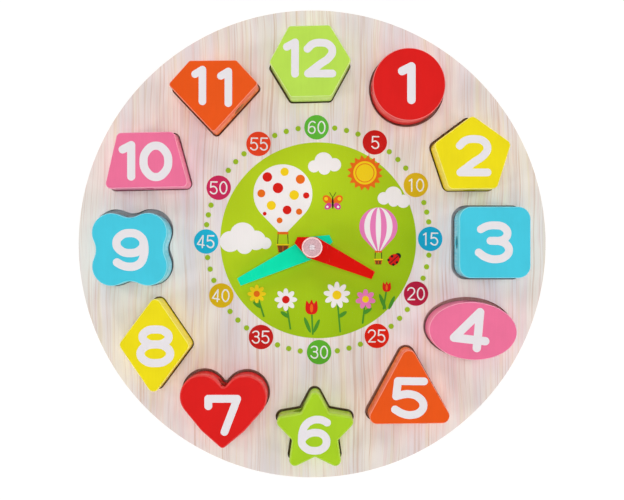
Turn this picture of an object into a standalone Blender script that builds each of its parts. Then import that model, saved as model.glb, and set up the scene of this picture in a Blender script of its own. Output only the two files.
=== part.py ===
"""A round wooden learning clock.

Two glued plywood layers make the board. Twelve lacing blocks, one for each hour,
lie in recesses cut through the front layer, and two plastic hands turn on a pin
that is pushed in from the back and closed by a cap.

Metres, +Z up. The clock lies on its back with 12 o'clock towards +Y. The origin
is at the centre of the board's underside.
"""

import math

import bmesh
import bpy
from mathutils import Matrix, Vector

# Board. Its diameter follows from the ring of blocks.
RIM_WIDTH = 0.0049
BACK_THICKNESS = 0.004
FACE_THICKNESS = 0.003
GLUE_LINE = 0.0003
EDGE_ROUNDING = 0.0008

# Blocks, common sizes
BLOCK_THICKNESS = 0.015
BLOCK_ROUNDING = 0.0014
LACING_BORE = 0.0065
BLOCK_SPACING = 0.00183
RECESS_CLEARANCE = 0.0011
SEAT_GAP = 0.0003

# Blocks, shapes: outer sizes over the rounded corners
CIRCLE_DIAMETER = 0.034
PENTAGON_REACH = 0.0184
PENTAGON_CORNER = 0.0027
SQUARE_SIDE = 0.0334
SQUARE_CORNER = 0.0058
OVAL_LENGTH = 0.0411
OVAL_WIDTH = 0.027
TRIANGLE_WIDTH = 0.0374
TRIANGLE_HEIGHT = 0.0344
TRIANGLE_CORNER = 0.0035
STAR_REACH = 0.0187
STAR_NOTCH_REACH = 0.0115
STAR_TIP = 0.0027
STAR_NOTCH = 0.0015
HEART_WIDTH = 0.0408
HEART_DEPTH_TO_TIP = 0.0239
HEART_LOBE = 0.0102
HEART_TIP = 0.002
HEART_BULGE = 0.0009
HEART_NOTCH = 0.0014
HEART_STRAIGHT = 0.0002
RHOMBUS_WIDTH = 0.0324
RHOMBUS_HEIGHT = 0.0432
RHOMBUS_CORNER = 0.0028
CLOVER_WIDTH = 0.0352
CLOVER_HEIGHT = 0.034
CLOVER_LOBE = 0.0091
CLOVER_HOLLOW = 0.00908
CLOVER_STRAIGHT = 0.00005
TRAPEZOID_TOP = 0.0275
TRAPEZOID_BASE = 0.0382
TRAPEZOID_HEIGHT = 0.026
TRAPEZOID_CORNER = 0.0024
GEM_WIDTH = 0.041
GEM_TOP = 0.0237
GEM_CROWN = 0.0111
GEM_DEPTH = 0.022
GEM_CORNER = 0.0016
HEXAGON_REACH = 0.0189
HEXAGON_CORNER = 0.0018

# Hands and the pivot that carries them
HUB_OFFSET = 0.0017
HAND_THICKNESS = 0.0018
HAND_EDGE = 0.0003
HAND_WIDTH = 0.0107
HAND_TIP_WIDTH = 0.0039
HOUR_REACH = 0.032
HOUR_TAIL = 0.0085
HOUR_TAIL_WIDTH = 0.0031
MINUTE_REACH = 0.0387
MINUTE_TAIL = 0.01
MINUTE_TAIL_WIDTH = 0.0037
SPACER_DIAMETER = 0.009
SPACER_THICKNESS = 0.0008
PIN_SHANK = 0.005
PIN_END = 0.0032
PIN_END_RECESS = 0.0002
PIN_SLOT = 0.0005
PIN_SLOT_DEPTH = 0.003
PIN_HEAD_DIAMETER = 0.013
PIN_HEAD_THICKNESS = 0.0016
CAP_DIAMETER = 0.0098
CAP_THICKNESS = 0.0017
CAP_RIM = 0.0009
CAP_DISH = 0.0002
CAP_ROUNDING = 0.0005
RUNNING_GAP = 0.0003

# The time that the hands show, as angles from +X
HOUR_ANGLE = -24.7
MINUTE_ANGLE = 205.3

# How far each cutter runs past the faces that it cuts
OVERRUN = 0.002

# Points closer than this are made one
MERGE_DISTANCE = 0.000003

# Fineness: degrees on an arc, and the sides of round things
ARC_STEP = 22.5
OVAL_SEGMENTS = 40
BORE_SEGMENTS = 20
DISC_SEGMENTS = 32
RIM_SEGMENTS = 96
ROUNDING_SEGMENTS = 2

WIDEST_BLOCK = max(
    CIRCLE_DIAMETER,
    2 * PENTAGON_REACH,
    SQUARE_SIDE,
    OVAL_LENGTH,
    TRIANGLE_WIDTH,
    2 * STAR_REACH,
    HEART_WIDTH,
    RHOMBUS_HEIGHT,
    CLOVER_WIDTH,
    TRAPEZOID_BASE,
    GEM_WIDTH,
    2 * HEXAGON_REACH,
)
RING_RADIUS = 12 * (WIDEST_BLOCK + BLOCK_SPACING) / math.tau
BOARD_RADIUS = RING_RADIUS + WIDEST_BLOCK / 2 + RIM_WIDTH

BACK_TOP = BACK_THICKNESS
FACE_BOTTOM = BACK_TOP + GLUE_LINE
FACE_TOP = FACE_BOTTOM + FACE_THICKNESS
BLOCK_BOTTOM = BACK_TOP + SEAT_GAP
SPACER_BOTTOM = FACE_TOP + SEAT_GAP
MINUTE_BOTTOM = SPACER_BOTTOM + SPACER_THICKNESS + RUNNING_GAP
HOUR_BOTTOM = MINUTE_BOTTOM + HAND_THICKNESS + RUNNING_GAP
CAP_BOTTOM = HOUR_BOTTOM + HAND_THICKNESS + RUNNING_GAP
CAP_TOP = CAP_BOTTOM + CAP_THICKNESS
PIN_HOLE = PIN_SHANK + 2 * RUNNING_GAP
COUNTERBORE = PIN_HEAD_DIAMETER + 2 * SEAT_GAP
COUNTERBORE_DEPTH = PIN_HEAD_THICKNESS + 2 * SEAT_GAP

COLOURS = {
    "plywood": (0.74, 0.66, 0.58),
    "red": (0.72, 0.02, 0.02),
    "yellow": (0.86, 0.71, 0.02),
    "cyan": (0.07, 0.55, 0.73),
    "pink": (0.87, 0.16, 0.34),
    "orange": (0.80, 0.11, 0.02),
    "lime": (0.36, 0.63, 0.05),
    "mint": (0.01, 0.72, 0.38),
    "scarlet": (0.72, 0.01, 0.01),
    "milky": (0.80, 0.62, 0.66),
    "nylon": (0.82, 0.80, 0.76),
}


def clear_scene():
    for obj in list(bpy.data.objects):
        bpy.data.objects.remove(obj, do_unlink=True)


def new_collection(name):
    collection = bpy.data.collections.new(name)
    bpy.context.scene.collection.children.link(collection)
    return collection


def material(name, roughness):
    made = bpy.data.materials.new(name)
    made.use_nodes = True
    made.diffuse_color = (*COLOURS[name], 1)
    shader = made.node_tree.nodes["Principled BSDF"]
    shader.inputs["Base Color"].default_value = (*COLOURS[name], 1)
    shader.inputs["Roughness"].default_value = roughness
    shader.inputs["Metallic"].default_value = 0
    return made


def place(mesh, name, collection, location=(0, 0, 0), turn=0.0):
    """An object for the mesh at a place, turned about Z by degrees."""
    obj = bpy.data.objects.new(name, mesh)
    obj.location = location
    obj.rotation_euler = (0, 0, math.radians(turn))
    collection.objects.link(obj)
    return obj


def polar(radius, degrees):
    angle = math.radians(degrees)
    return Vector((radius * math.cos(angle), radius * math.sin(angle)))


# Outlines. A belt runs anticlockwise round its pulleys, each (x, y, radius). A pulley with
# a negative radius lies outside the belt and presses a hollow into it. The belt grows by
# the same amount everywhere, so that a recess is the outline of its block, grown.


def belt(pulleys, grow):
    centres = [Vector((x, y)) for x, y, _ in pulleys]
    radii = [radius + grow for _, _, radius in pulleys]
    count = len(pulleys)
    headings = []
    for i in range(count):
        j = (i + 1) % count
        run = centres[j] - centres[i]
        lean = math.asin((radii[j] - radii[i]) / run.length)
        headings.append(math.atan2(run.y, run.x) - lean)
    points = []
    for i in range(count):
        points += bend(centres[i], radii[i], headings[i - 1], headings[i])
    return points


def bend(centre, radius, heading_in, heading_out):
    """The points of the arc on which the belt goes round one pulley."""
    full = 2 * math.pi
    if radius > 0:
        sweep = (heading_out - heading_in) % full
    else:
        sweep = -((heading_in - heading_out) % full)
    steps = max(1, math.ceil(abs(math.degrees(sweep)) / ARC_STEP))
    points = []
    for k in range(steps + 1):
        heading = heading_in + sweep * k / steps
        outward = Vector((math.sin(heading), -math.cos(heading)))
        points.append(centre + radius * outward)
    return points


def ellipse(length, width, steps):
    points = []
    for k in range(steps):
        angle = math.tau * k / steps
        points.append(Vector((length / 2 * math.cos(angle), width / 2 * math.sin(angle))))
    return points


def spokes(count, ring, radius, first=90.0):
    """Pulleys of one radius, spread evenly on a ring."""
    return [(*polar(ring, first + 360 / count * i), radius) for i in range(count)]


def circle_outline(grow):
    size = CIRCLE_DIAMETER + 2 * grow
    return ellipse(size, size, OVAL_SEGMENTS)


def pentagon_outline(grow):
    return belt(spokes(5, PENTAGON_REACH - PENTAGON_CORNER, PENTAGON_CORNER), grow)


def square_outline(grow):
    ring = math.sqrt(2) * (SQUARE_SIDE / 2 - SQUARE_CORNER)
    return belt(spokes(4, ring, SQUARE_CORNER, first=45.0), grow)


def oval_outline(grow):
    return ellipse(OVAL_LENGTH + 2 * grow, OVAL_WIDTH + 2 * grow, OVAL_SEGMENTS)


def triangle_outline(grow):
    half = TRIANGLE_WIDTH / 2 - TRIANGLE_CORNER
    base = TRIANGLE_CORNER - TRIANGLE_HEIGHT / 3
    apex = 2 * TRIANGLE_HEIGHT / 3 - TRIANGLE_CORNER
    corners = [(0, apex), (-half, base), (half, base)]
    return belt([(x, y, TRIANGLE_CORNER) for x, y in corners], grow)


def star_outline(grow):
    tips = spokes(5, STAR_REACH - STAR_TIP, STAR_TIP)
    notches = spokes(5, STAR_NOTCH_REACH + STAR_NOTCH, -STAR_NOTCH, first=126.0)
    return belt([pulley for pair in zip(tips, notches) for pulley in pair], grow)


def hollow_centre(spread, lobe, hollow, straight):
    """How far a hollow's centre lies from the line of two lobes, where a short straight joins them."""
    return math.sqrt(max(0, (lobe + hollow + straight) ** 2 - spread**2))


def heart_outline(grow):
    """Two lobes and a tip. A pulley halfway down each flank makes it bulge a little."""
    spread = HEART_WIDTH / 2 - HEART_LOBE
    tip = HEART_TIP - HEART_DEPTH_TO_TIP
    flank = (HEART_LOBE + HEART_TIP) / 2 + HEART_BULGE
    notch = hollow_centre(spread, HEART_LOBE, HEART_NOTCH, HEART_STRAIGHT)
    pulleys = [
        (0, tip, HEART_TIP),
        (spread / 2, tip / 2, flank),
        (spread, 0, HEART_LOBE),
        (0, notch, -HEART_NOTCH),
        (-spread, 0, HEART_LOBE),
        (-spread / 2, tip / 2, flank),
    ]
    return belt(pulleys, grow)


def rhombus_outline(grow):
    across = RHOMBUS_WIDTH / 2 - RHOMBUS_CORNER
    along = RHOMBUS_HEIGHT / 2 - RHOMBUS_CORNER
    corners = [(0, along), (-across, 0), (0, -along), (across, 0)]
    return belt([(x, y, RHOMBUS_CORNER) for x, y in corners], grow)


def clover_outline(grow):
    """Four lobes, with a hollow between each two."""
    across = CLOVER_WIDTH / 2 - CLOVER_LOBE
    along = CLOVER_HEIGHT / 2 - CLOVER_LOBE
    side = across + hollow_centre(along, CLOVER_LOBE, CLOVER_HOLLOW, CLOVER_STRAIGHT)
    end = along + hollow_centre(across, CLOVER_LOBE, CLOVER_HOLLOW, CLOVER_STRAIGHT)
    pulleys = [
        (across, along, CLOVER_LOBE),
        (0, end, -CLOVER_HOLLOW),
        (-across, along, CLOVER_LOBE),
        (-side, 0, -CLOVER_HOLLOW),
        (-across, -along, CLOVER_LOBE),
        (0, -end, -CLOVER_HOLLOW),
        (across, -along, CLOVER_LOBE),
        (side, 0, -CLOVER_HOLLOW),
    ]
    return belt(pulleys, grow)


def trapezoid_outline(grow):
    top = TRAPEZOID_HEIGHT / 2 - TRAPEZOID_CORNER
    wide = TRAPEZOID_BASE / 2 - TRAPEZOID_CORNER
    narrow = TRAPEZOID_TOP / 2 - TRAPEZOID_CORNER
    corners = [(narrow, top), (-narrow, top), (-wide, -top), (wide, -top)]
    return belt([(x, y, TRAPEZOID_CORNER) for x, y in corners], grow)


def gem_outline(grow):
    top = GEM_CROWN - GEM_CORNER
    narrow = GEM_TOP / 2 - GEM_CORNER
    wide = GEM_WIDTH / 2 - GEM_CORNER
    tip = GEM_CORNER - GEM_DEPTH
    corners = [(narrow, top), (-narrow, top), (-wide, 0), (0, tip), (wide, 0)]
    return belt([(x, y, GEM_CORNER) for x, y in corners], grow)


def hexagon_outline(grow):
    return belt(spokes(6, HEXAGON_REACH - HEXAGON_CORNER, HEXAGON_CORNER, first=0.0), grow)


# One row for each block: name, outline, colour, clock angle in degrees and share of the
# ring's radius, the block's turn, its recess's turn, the share of the usual clearance that
# the recess gives, how far the block has slid in it (two shares of that), and the angle of
# the lacing bore from +X.
BLOCK_SHARES = (
    ("block_01_circle", circle_outline, "red", 31.3, 1.0125, 0.0, 0.0, 1.0, (-0.2, 0.0), 0),
    ("block_02_pentagon", pentagon_outline, "yellow", 61.35, 0.993, 0.5, 0.5, 0.8, (0.0, -0.6), 90),
    ("block_03_square", square_outline, "cyan", 89.6, 0.992, 0.0, 0.0, 1.0, (0.4, -0.1), 0),
    ("block_04_oval", oval_outline, "pink", 118.5, 0.993, -3.0, -3.0, 1.0, (-0.1, -0.5), 90),
    ("block_05_triangle", triangle_outline, "orange", 148.0, 0.9955, 0.7, 0.3, 0.85, (0.3, -0.1), 60),
    ("block_06_star", star_outline, "lime", 179.1, 1.027, 0.0, 0.0, 0.8, (0.2, -0.35), 126),
    ("block_07_heart", heart_outline, "red", 210.1, 0.9625, -1.0, -1.0, 0.75, (0.0, -0.6), 90),
    ("block_08_rhombus", rhombus_outline, "yellow", 237.2, 1.019, -1.2, -1.2, 0.65, (0.3, 0.2), -38),
    ("block_09_clover", clover_outline, "cyan", 268.2, 0.991, 0.5, 0.5, 1.3, (0.45, -0.66), 90),
    ("block_10_trapezoid", trapezoid_outline, "pink", 296.75, 1.009, 1.2, 1.2, 0.72, (0.4, -0.5), 90),
    ("block_11_gem", gem_outline, "orange", 328.2, 1.019, 0.5, 0.5, 0.65, (-0.1, 0.05), -41),
    ("block_12_hexagon", hexagon_outline, "lime", 359.4, 0.991, 1.4, 1.4, 0.6, (0.3, 0.2), 0),
)


def block_centre(clock_angle, ring_share):
    return polar(RING_RADIUS * ring_share, 90 - clock_angle)


def recess_outlines():
    """The outlines cut through the front layer for the blocks, where each has slid from the middle."""
    outlines = []
    for _, outline, _, clock_angle, ring_share, _, turn, room_share, slide_shares, _ in BLOCK_SHARES:
        room = RECESS_CLEARANCE * room_share
        centre = block_centre(clock_angle, ring_share) - room * Vector(slide_shares)
        outlines.append(turned_points(outline(room), turn, centre))
    return outlines


def turned_points(points, degrees, centre):
    turn = Matrix.Rotation(math.radians(degrees), 2)
    return [turn @ point + centre for point in points]


# Making solids


def plate(name, outlines, thickness):
    """A mesh of flat closed outlines, filled and extruded up from z = 0. Inner ones are holes."""
    curve = bpy.data.curves.new(name, "CURVE")
    curve.dimensions = "2D"
    curve.fill_mode = "BOTH"
    curve.extrude = thickness / 2
    for points in outlines:
        spline = curve.splines.new("POLY")
        spline.points.add(len(points) - 1)
        for slot, point in zip(spline.points, points):
            slot.co = (point.x, point.y, 0, 1)
        spline.use_cyclic_u = True
    guide = bpy.data.objects.new(name + "_outline", curve)
    bpy.context.scene.collection.objects.link(guide)
    graph = bpy.context.evaluated_depsgraph_get()
    mesh = bpy.data.meshes.new_from_object(guide.evaluated_get(graph))
    bpy.data.objects.remove(guide, do_unlink=True)
    mesh.name = name
    weld(mesh, Matrix.Translation((0, 0, thickness / 2)))
    return mesh


def weld(mesh, shift):
    """Joins the caps to the walls, clears the edges that cross flat faces, and moves the mesh."""
    work = bmesh.new()
    work.from_mesh(mesh)
    bmesh.ops.remove_doubles(work, verts=work.verts, dist=MERGE_DISTANCE)
    bmesh.ops.dissolve_limit(work, angle_limit=math.radians(1), verts=work.verts, edges=work.edges)
    bmesh.ops.transform(work, matrix=shift, verts=work.verts)
    bmesh.ops.recalc_face_normals(work, faces=work.faces)
    work.to_mesh(mesh)
    work.free()


def turned(name, profile, collection, closed=False, centre=(0, -HUB_OFFSET), steps=DISC_SEGMENTS):
    """A turned piece on an upright axis. The profile is (radius, z) and runs down its outer side."""
    mesh = bpy.data.meshes.new(name)
    edges = [(i, i + 1) for i in range(len(profile) - 1)]
    if closed:
        edges.append((len(profile) - 1, 0))
    mesh.from_pydata([(radius, 0, z) for radius, z in profile], edges, [])
    obj = place(mesh, name, collection, location=(*centre, 0))
    screw = obj.modifiers.new("Turn", "SCREW")
    screw.axis = "Z"
    screw.steps = steps
    screw.render_steps = steps
    screw.use_merge_vertices = True
    screw.merge_threshold = MERGE_DISTANCE
    return obj


def rounded_edge(radius, z, rounding, side):
    """Profile points round an outer edge, from the axis outwards. The side is 1 on top, -1 below."""
    points = []
    for k in range(ROUNDING_SEGMENTS + 1):
        angle = math.pi / 2 * k / ROUNDING_SEGMENTS
        out = rounding * (math.sin(angle) - 1)
        up = side * rounding * (math.cos(angle) - 1)
        points.append((radius + out, z + up))
    return points


def round_rims(obj, width, segments):
    rounding = obj.modifiers.new("Rounding", "BEVEL")
    rounding.width = width
    rounding.segments = segments
    rounding.limit_method = "ANGLE"
    rounding.angle_limit = math.radians(40)


def cut(obj, cutter):
    cutter.hide_render = True
    cutter.display_type = "WIRE"
    boolean = obj.modifiers.new("Cut " + cutter.name, "BOOLEAN")
    boolean.operation = "DIFFERENCE"
    boolean.object = cutter


def finish(obj, paint):
    """Gives the piece its material, and smooth shading between flat faces."""
    obj.data.materials.clear()
    obj.data.materials.append(paint)
    obj.data.shade_smooth()
    obj.data.set_sharp_from_angle(angle=math.radians(30))


# The board


def make_face_board(parts, cutters, wood):
    profile = [(0, FACE_TOP)]
    profile += rounded_edge(BOARD_RADIUS, FACE_TOP, EDGE_ROUNDING, side=1)
    profile += [(BOARD_RADIUS, FACE_BOTTOM), (0, FACE_BOTTOM)]
    board = turned("face_board", profile, parts, centre=(0, 0), steps=RIM_SEGMENTS)
    pin_hole = turned_points(ellipse(PIN_HOLE, PIN_HOLE, BORE_SEGMENTS), 0, Vector((0, -HUB_OFFSET)))
    outlines = recess_outlines() + [pin_hole]
    mesh = plate("recess_cutter", outlines, FACE_THICKNESS + 2 * OVERRUN)
    cut(board, place(mesh, "recess_cutter", cutters, location=(0, 0, FACE_BOTTOM - OVERRUN)))
    finish(board, wood)


def make_back_board(parts, cutters, wood):
    profile = [(0, BACK_TOP), (BOARD_RADIUS, BACK_TOP)]
    profile += reversed(rounded_edge(BOARD_RADIUS, 0, EDGE_ROUNDING, side=-1))
    profile += [(0, 0)]
    board = turned("back_board", profile, parts, centre=(0, 0), steps=RIM_SEGMENTS)
    pin_seat = [
        (0, BACK_TOP + OVERRUN),
        (PIN_HOLE / 2, BACK_TOP + OVERRUN),
        (PIN_HOLE / 2, COUNTERBORE_DEPTH),
        (COUNTERBORE / 2, COUNTERBORE_DEPTH),
        (COUNTERBORE / 2, -OVERRUN),
        (0, -OVERRUN),
    ]
    cut(board, turned("pin_seat_cutter", pin_seat, cutters))
    finish(board, wood)


# The blocks


def bore_cutter(name, cutters, centre, angle):
    """A lying cylinder through the middle of a block's thickness, longer than any block."""
    mesh = bpy.data.meshes.new(name)
    work = bmesh.new()
    bmesh.ops.create_cone(
        work,
        cap_ends=True,
        segments=BORE_SEGMENTS,
        radius1=LACING_BORE / 2,
        radius2=LACING_BORE / 2,
        depth=2 * WIDEST_BLOCK,
        matrix=Matrix.Rotation(math.pi / 2, 4, "Y"),
    )
    work.to_mesh(mesh)
    work.free()
    height = BLOCK_BOTTOM + BLOCK_THICKNESS / 2
    return place(mesh, name, cutters, location=(*centre, height), turn=angle)


def make_blocks(parts, cutters, paints):
    for name, outline, colour, clock_angle, ring_share, turn, _, _, _, bore in BLOCK_SHARES:
        centre = block_centre(clock_angle, ring_share)
        mesh = plate(name, [outline(0)], BLOCK_THICKNESS)
        block = place(mesh, name, parts, (*centre, BLOCK_BOTTOM), turn)
        round_rims(block, BLOCK_ROUNDING, ROUNDING_SEGMENTS)
        cut(block, bore_cutter(name + "_bore_cutter", cutters, centre, bore))
        finish(block, paints[colour])


# The hands and their pivot


def make_hand(name, parts, reach, tail, tail_width, bottom, angle, plastic):
    corners = [
        (reach, HAND_TIP_WIDTH / 2),
        (0, HAND_WIDTH / 2),
        (-tail, tail_width / 2),
        (-tail, -tail_width / 2),
        (0, -HAND_WIDTH / 2),
        (reach, -HAND_TIP_WIDTH / 2),
    ]
    hole = ellipse(PIN_HOLE, PIN_HOLE, BORE_SEGMENTS)
    mesh = plate(name, [[Vector(corner) for corner in corners], hole], HAND_THICKNESS)
    hand = place(mesh, name, parts, (0, -HUB_OFFSET, bottom), angle)
    round_rims(hand, HAND_EDGE, 1)
    finish(hand, plastic)


def make_spacer(parts, nylon):
    outer = SPACER_DIAMETER / 2
    top = SPACER_BOTTOM + SPACER_THICKNESS
    profile = [
        (outer, top),
        (outer, SPACER_BOTTOM),
        (PIN_HOLE / 2, SPACER_BOTTOM),
        (PIN_HOLE / 2, top),
    ]
    finish(turned("hand_spacer", profile, parts, closed=True), nylon)


def make_pin(parts, cutters, nylon):
    """The pin has a flat head at the back and an end split crosswise into four prongs."""
    shoulder = CAP_BOTTOM - RUNNING_GAP
    end = CAP_TOP - CAP_DISH - PIN_END_RECESS
    head_top = SEAT_GAP + PIN_HEAD_THICKNESS
    profile = [
        (0, end),
        (PIN_END / 2, end),
        (PIN_END / 2, shoulder),
        (PIN_SHANK / 2, shoulder),
        (PIN_SHANK / 2, head_top),
        (PIN_HEAD_DIAMETER / 2, head_top),
        (PIN_HEAD_DIAMETER / 2, SEAT_GAP),
        (0, SEAT_GAP),
    ]
    pin = turned("pivot_pin", profile, parts)
    for index in range(2):
        cut(pin, slot_cutter("pin_slot_cutter_%d" % (index + 1), cutters, end, 90 * index))
    finish(pin, nylon)


def slot_cutter(name, cutters, end, turn):
    """A thin upright box across the pin's end."""
    mesh = bpy.data.meshes.new(name)
    work = bmesh.new()
    bmesh.ops.create_cube(work, size=1)
    scale = (PIN_END + 2 * OVERRUN, PIN_SLOT, PIN_SLOT_DEPTH + OVERRUN)
    bmesh.ops.scale(work, vec=scale, verts=work.verts)
    work.to_mesh(mesh)
    work.free()
    middle = end + (OVERRUN - PIN_SLOT_DEPTH) / 2
    return place(mesh, name, cutters, (0, -HUB_OFFSET, middle), turn)


def make_cap(parts, milky):
    """A ring with a slightly dished top, pressed on the end of the pin."""
    outer = CAP_DIAMETER / 2
    inner = PIN_END / 2 + SEAT_GAP
    dish = CAP_TOP - CAP_DISH
    profile = [
        (inner, dish),
        (outer - CAP_RIM - CAP_DISH, dish),
        (outer - CAP_RIM, CAP_TOP),
        (outer - CAP_ROUNDING, CAP_TOP),
        (outer, CAP_TOP - CAP_ROUNDING),
        (outer, CAP_BOTTOM),
        (inner, CAP_BOTTOM),
    ]
    finish(turned("hub_cap", profile, parts, closed=True), milky)


def main():
    clear_scene()
    parts = new_collection("learning_clock")
    cutters = new_collection("cutters")
    wood = material("plywood", 0.6)
    paints = {name: material(name, 0.3) for name in ("red", "yellow", "cyan", "pink", "orange", "lime")}
    make_back_board(parts, cutters, wood)
    make_face_board(parts, cutters, wood)
    make_blocks(parts, cutters, paints)
    nylon = material("nylon", 0.4)
    make_spacer(parts, nylon)
    make_hand(
        "minute_hand", parts, MINUTE_REACH, MINUTE_TAIL, MINUTE_TAIL_WIDTH,
        MINUTE_BOTTOM, MINUTE_ANGLE, material("mint", 0.25),
    )
    make_hand(
        "hour_hand", parts, HOUR_REACH, HOUR_TAIL, HOUR_TAIL_WIDTH,
        HOUR_BOTTOM, HOUR_ANGLE, material("scarlet", 0.25),
    )
    make_pin(parts, cutters, nylon)
    make_cap(parts, material("milky", 0.2))


main()
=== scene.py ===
"""The dressed wooden learning clock.

Metres, +Z up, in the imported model's frame. The board lies on its back with its
underside at zero and 12 o'clock towards +Y. Sizes that end in _PX, and the places of
the printing, are pixels of the 624 x 500 picture, and the camera's own geometry turns
them into places on the wood.
"""

import math
from collections import namedtuple
from contextlib import contextmanager

import bmesh
import bpy
from mathutils import Matrix, Vector
from mathutils.bvhtree import BVHTree


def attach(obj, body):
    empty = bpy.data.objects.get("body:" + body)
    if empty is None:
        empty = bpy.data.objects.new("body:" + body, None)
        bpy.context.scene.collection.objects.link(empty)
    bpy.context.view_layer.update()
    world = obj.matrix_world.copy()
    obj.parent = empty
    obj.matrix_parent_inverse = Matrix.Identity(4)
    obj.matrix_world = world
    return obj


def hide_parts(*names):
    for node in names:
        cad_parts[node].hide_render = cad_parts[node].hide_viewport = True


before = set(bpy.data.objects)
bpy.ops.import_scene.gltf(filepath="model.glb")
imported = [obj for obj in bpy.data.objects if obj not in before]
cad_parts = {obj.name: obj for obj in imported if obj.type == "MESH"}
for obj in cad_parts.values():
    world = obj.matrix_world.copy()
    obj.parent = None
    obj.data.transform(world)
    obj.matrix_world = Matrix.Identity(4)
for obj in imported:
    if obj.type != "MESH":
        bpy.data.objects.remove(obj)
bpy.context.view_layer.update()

# Board
BOARD_RADIUS = 0.1125
BACK_TOP = 0.004
FACE_BOTTOM = 0.0043
FACE_TOP = 0.0073
EDGE_ROUNDING = 0.0008
MOUTH_ROUNDING = 0.00016
PIN_HOLE = 0.0056
COUNTERBORE = 0.0136
COUNTERBORE_DEPTH = 0.0022

# Recesses: the usual gap round a block, how far out they reach on the board, how far each
# floor runs on under the walls, and the grid that it is cut into
RECESS_CLEARANCE = 0.0011
RECESS_REACH = 0.11
RECESS_OVERLAP = 0.0005
RECESS_GRID = 0.0018

# Blocks. A step runs from the middle of one to the next.
BLOCK_BOTTOM = 0.0043
BLOCK_THICKNESS = 0.015
BLOCK_TOP = BLOCK_BOTTOM + BLOCK_THICKNESS
BLOCK_ROUNDING = 0.0008
SOFT_ROUNDING = 0.0019
SOFT_BLOCKS = ("block_06_star", "block_07_heart")
LACING_BORE = 0.0065
BORE_MOUTH = 0.0004
RING_RADIUS = 0.086
BLOCK_STEP = 0.045

# How strongly the rims of most blocks, and of those with softer edges, are painted
# lighter: a painted highlight
EDGE_HIGHLIGHT = 0.32
SOFT_EDGE_HIGHLIGHT = 0.05

# Outlines of the blocks. A reach runs from the middle to the end of a corner.
CIRCLE_DIAMETER = 0.034
PENTAGON_REACH = 0.0184
PENTAGON_CORNER = 0.0027
SQUARE_SIDE = 0.0334
SQUARE_CORNER = 0.0058
OVAL_LENGTH = 0.0411
OVAL_WIDTH = 0.027
TRIANGLE_WIDTH = 0.0374
TRIANGLE_HEIGHT = 0.0344
TRIANGLE_CORNER = 0.0035
STAR_REACH = 0.0187
STAR_NOTCH_REACH = 0.0115
STAR_TIP = 0.0027
STAR_NOTCH = 0.0015
HEART_WIDTH = 0.0408
HEART_DEPTH_TO_TIP = 0.0239
HEART_LOBE = 0.0102
HEART_TIP = 0.002
HEART_BULGE = 0.0009
HEART_NOTCH = 0.0014
HEART_STRAIGHT = 0.0002
RHOMBUS_WIDTH = 0.0324
RHOMBUS_HEIGHT = 0.0432
RHOMBUS_CORNER = 0.0028
CLOVER_WIDTH = 0.0352
CLOVER_HEIGHT = 0.034
CLOVER_LOBE = 0.0091
CLOVER_HOLLOW = 0.00908
CLOVER_STRAIGHT = 0.00005
TRAPEZOID_TOP = 0.0275
TRAPEZOID_BASE = 0.0382
TRAPEZOID_HEIGHT = 0.026
TRAPEZOID_CORNER = 0.0024
GEM_WIDTH = 0.041
GEM_TOP = 0.0237
GEM_CROWN = 0.0111
GEM_DEPTH = 0.022
GEM_CORNER = 0.0016
HEXAGON_REACH = 0.0189
HEXAGON_CORNER = 0.0018

# Hands and hub. One row for each hand: node, reach, tail, width of the tail's end, height
# of its underside, angle from +X, slot of the model, and colour as it looks, 0 to 255.
HUB = Vector((0, -0.0017))
HAND_THICKNESS = 0.0018
HAND_WIDTH = 0.0107
HAND_TIP_WIDTH = 0.0039
HAND_CORNER = 0.0003
HAND_EDGE = 0.0003
MINUTE_BOTTOM = 0.0087
HOUR_BOTTOM = 0.0108
HANDS = (
    ("minute_hand", 0.0387, 0.01, 0.0037, MINUTE_BOTTOM, 205.3, "mint", (4, 225, 174)),
    ("hour_hand", 0.032, 0.0085, 0.0031, HOUR_BOTTOM, -24.7, "scarlet", (214, 10, 0)),
)
SPACER_DIAMETER = 0.009
SPACER_BOTTOM = 0.0076
SPACER_TOP = 0.0084
FINE_ROUNDING = 0.0002
CAP_BOTTOM = 0.0129
CAP_TOP = 0.0146
CAP_DIAMETER = 0.0098
CAP_RIM = 0.0006
CAP_DISH = 0.0002
CAP_ROUNDING = 0.0003
CAP_GAP = 0.00004
CAP_CHAMFER = 0.00006
PIN_END = 0.0032
PIN_END_TOP = 0.0142
PIN_END_ROUNDING = 0.0001
PIN_SHOULDER = 0.0126
PIN_SHANK = 0.005
PIN_HEAD_DIAMETER = 0.013
PIN_HEAD_TOP = 0.0019
PIN_HEAD_ROUNDING = 0.0005
PIN_FOOT = 0.0003
PIN_DISH = 0.00025
PIN_SLOT = 0.0004
PIN_SLOT_DEPTH = 0.0006

# Printing: the film of ink, what each further shape of a motif adds so that it covers the
# one before, and how many pixels wide the pen of the minutes is
INK = 0.00003
OVERPRINT = 0.000003
MINUTE_PEN_PX = 1.45

# Camera: its height over the printed face, the point under it, its lens in millimetres,
# and the middle of the picture, where a pixel spans so many metres of the face
CAMERA_HEIGHT = 0.365
CAMERA_AIM = Vector((-0.00006, -0.00294))
CAMERA_LENS = 43.7
SENSOR_WIDTH = 36
PICTURE_MIDDLE_PX = Vector((312, 250))
METRES_PER_PIXEL = 0.00048194

# Light: how far off the lamps stand, the width and the watts of the one overhead and of
# each in the low ring, the world's own light, and how white the floor is to the camera
# beyond what the lamps give it. The floor reaches so far each way, just under the board.
LAMP_DISTANCE = 2
OVERHEAD_LAMP = (1.4, 15.8)
LOW_LAMPS = 8
LOW_LAMP = (0.6, 10.2)
LOW_LAMP_HEIGHT = 0.6
LOW_LAMP_TURN = 20
WORLD_LIGHT = 0.12
FLOOR_WHITE = 0.72
FLOOR_REACH = 3
FLOOR_LEVEL = -0.00005

# Points closer than this are one
SAME_POINT = 0.000001

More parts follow.
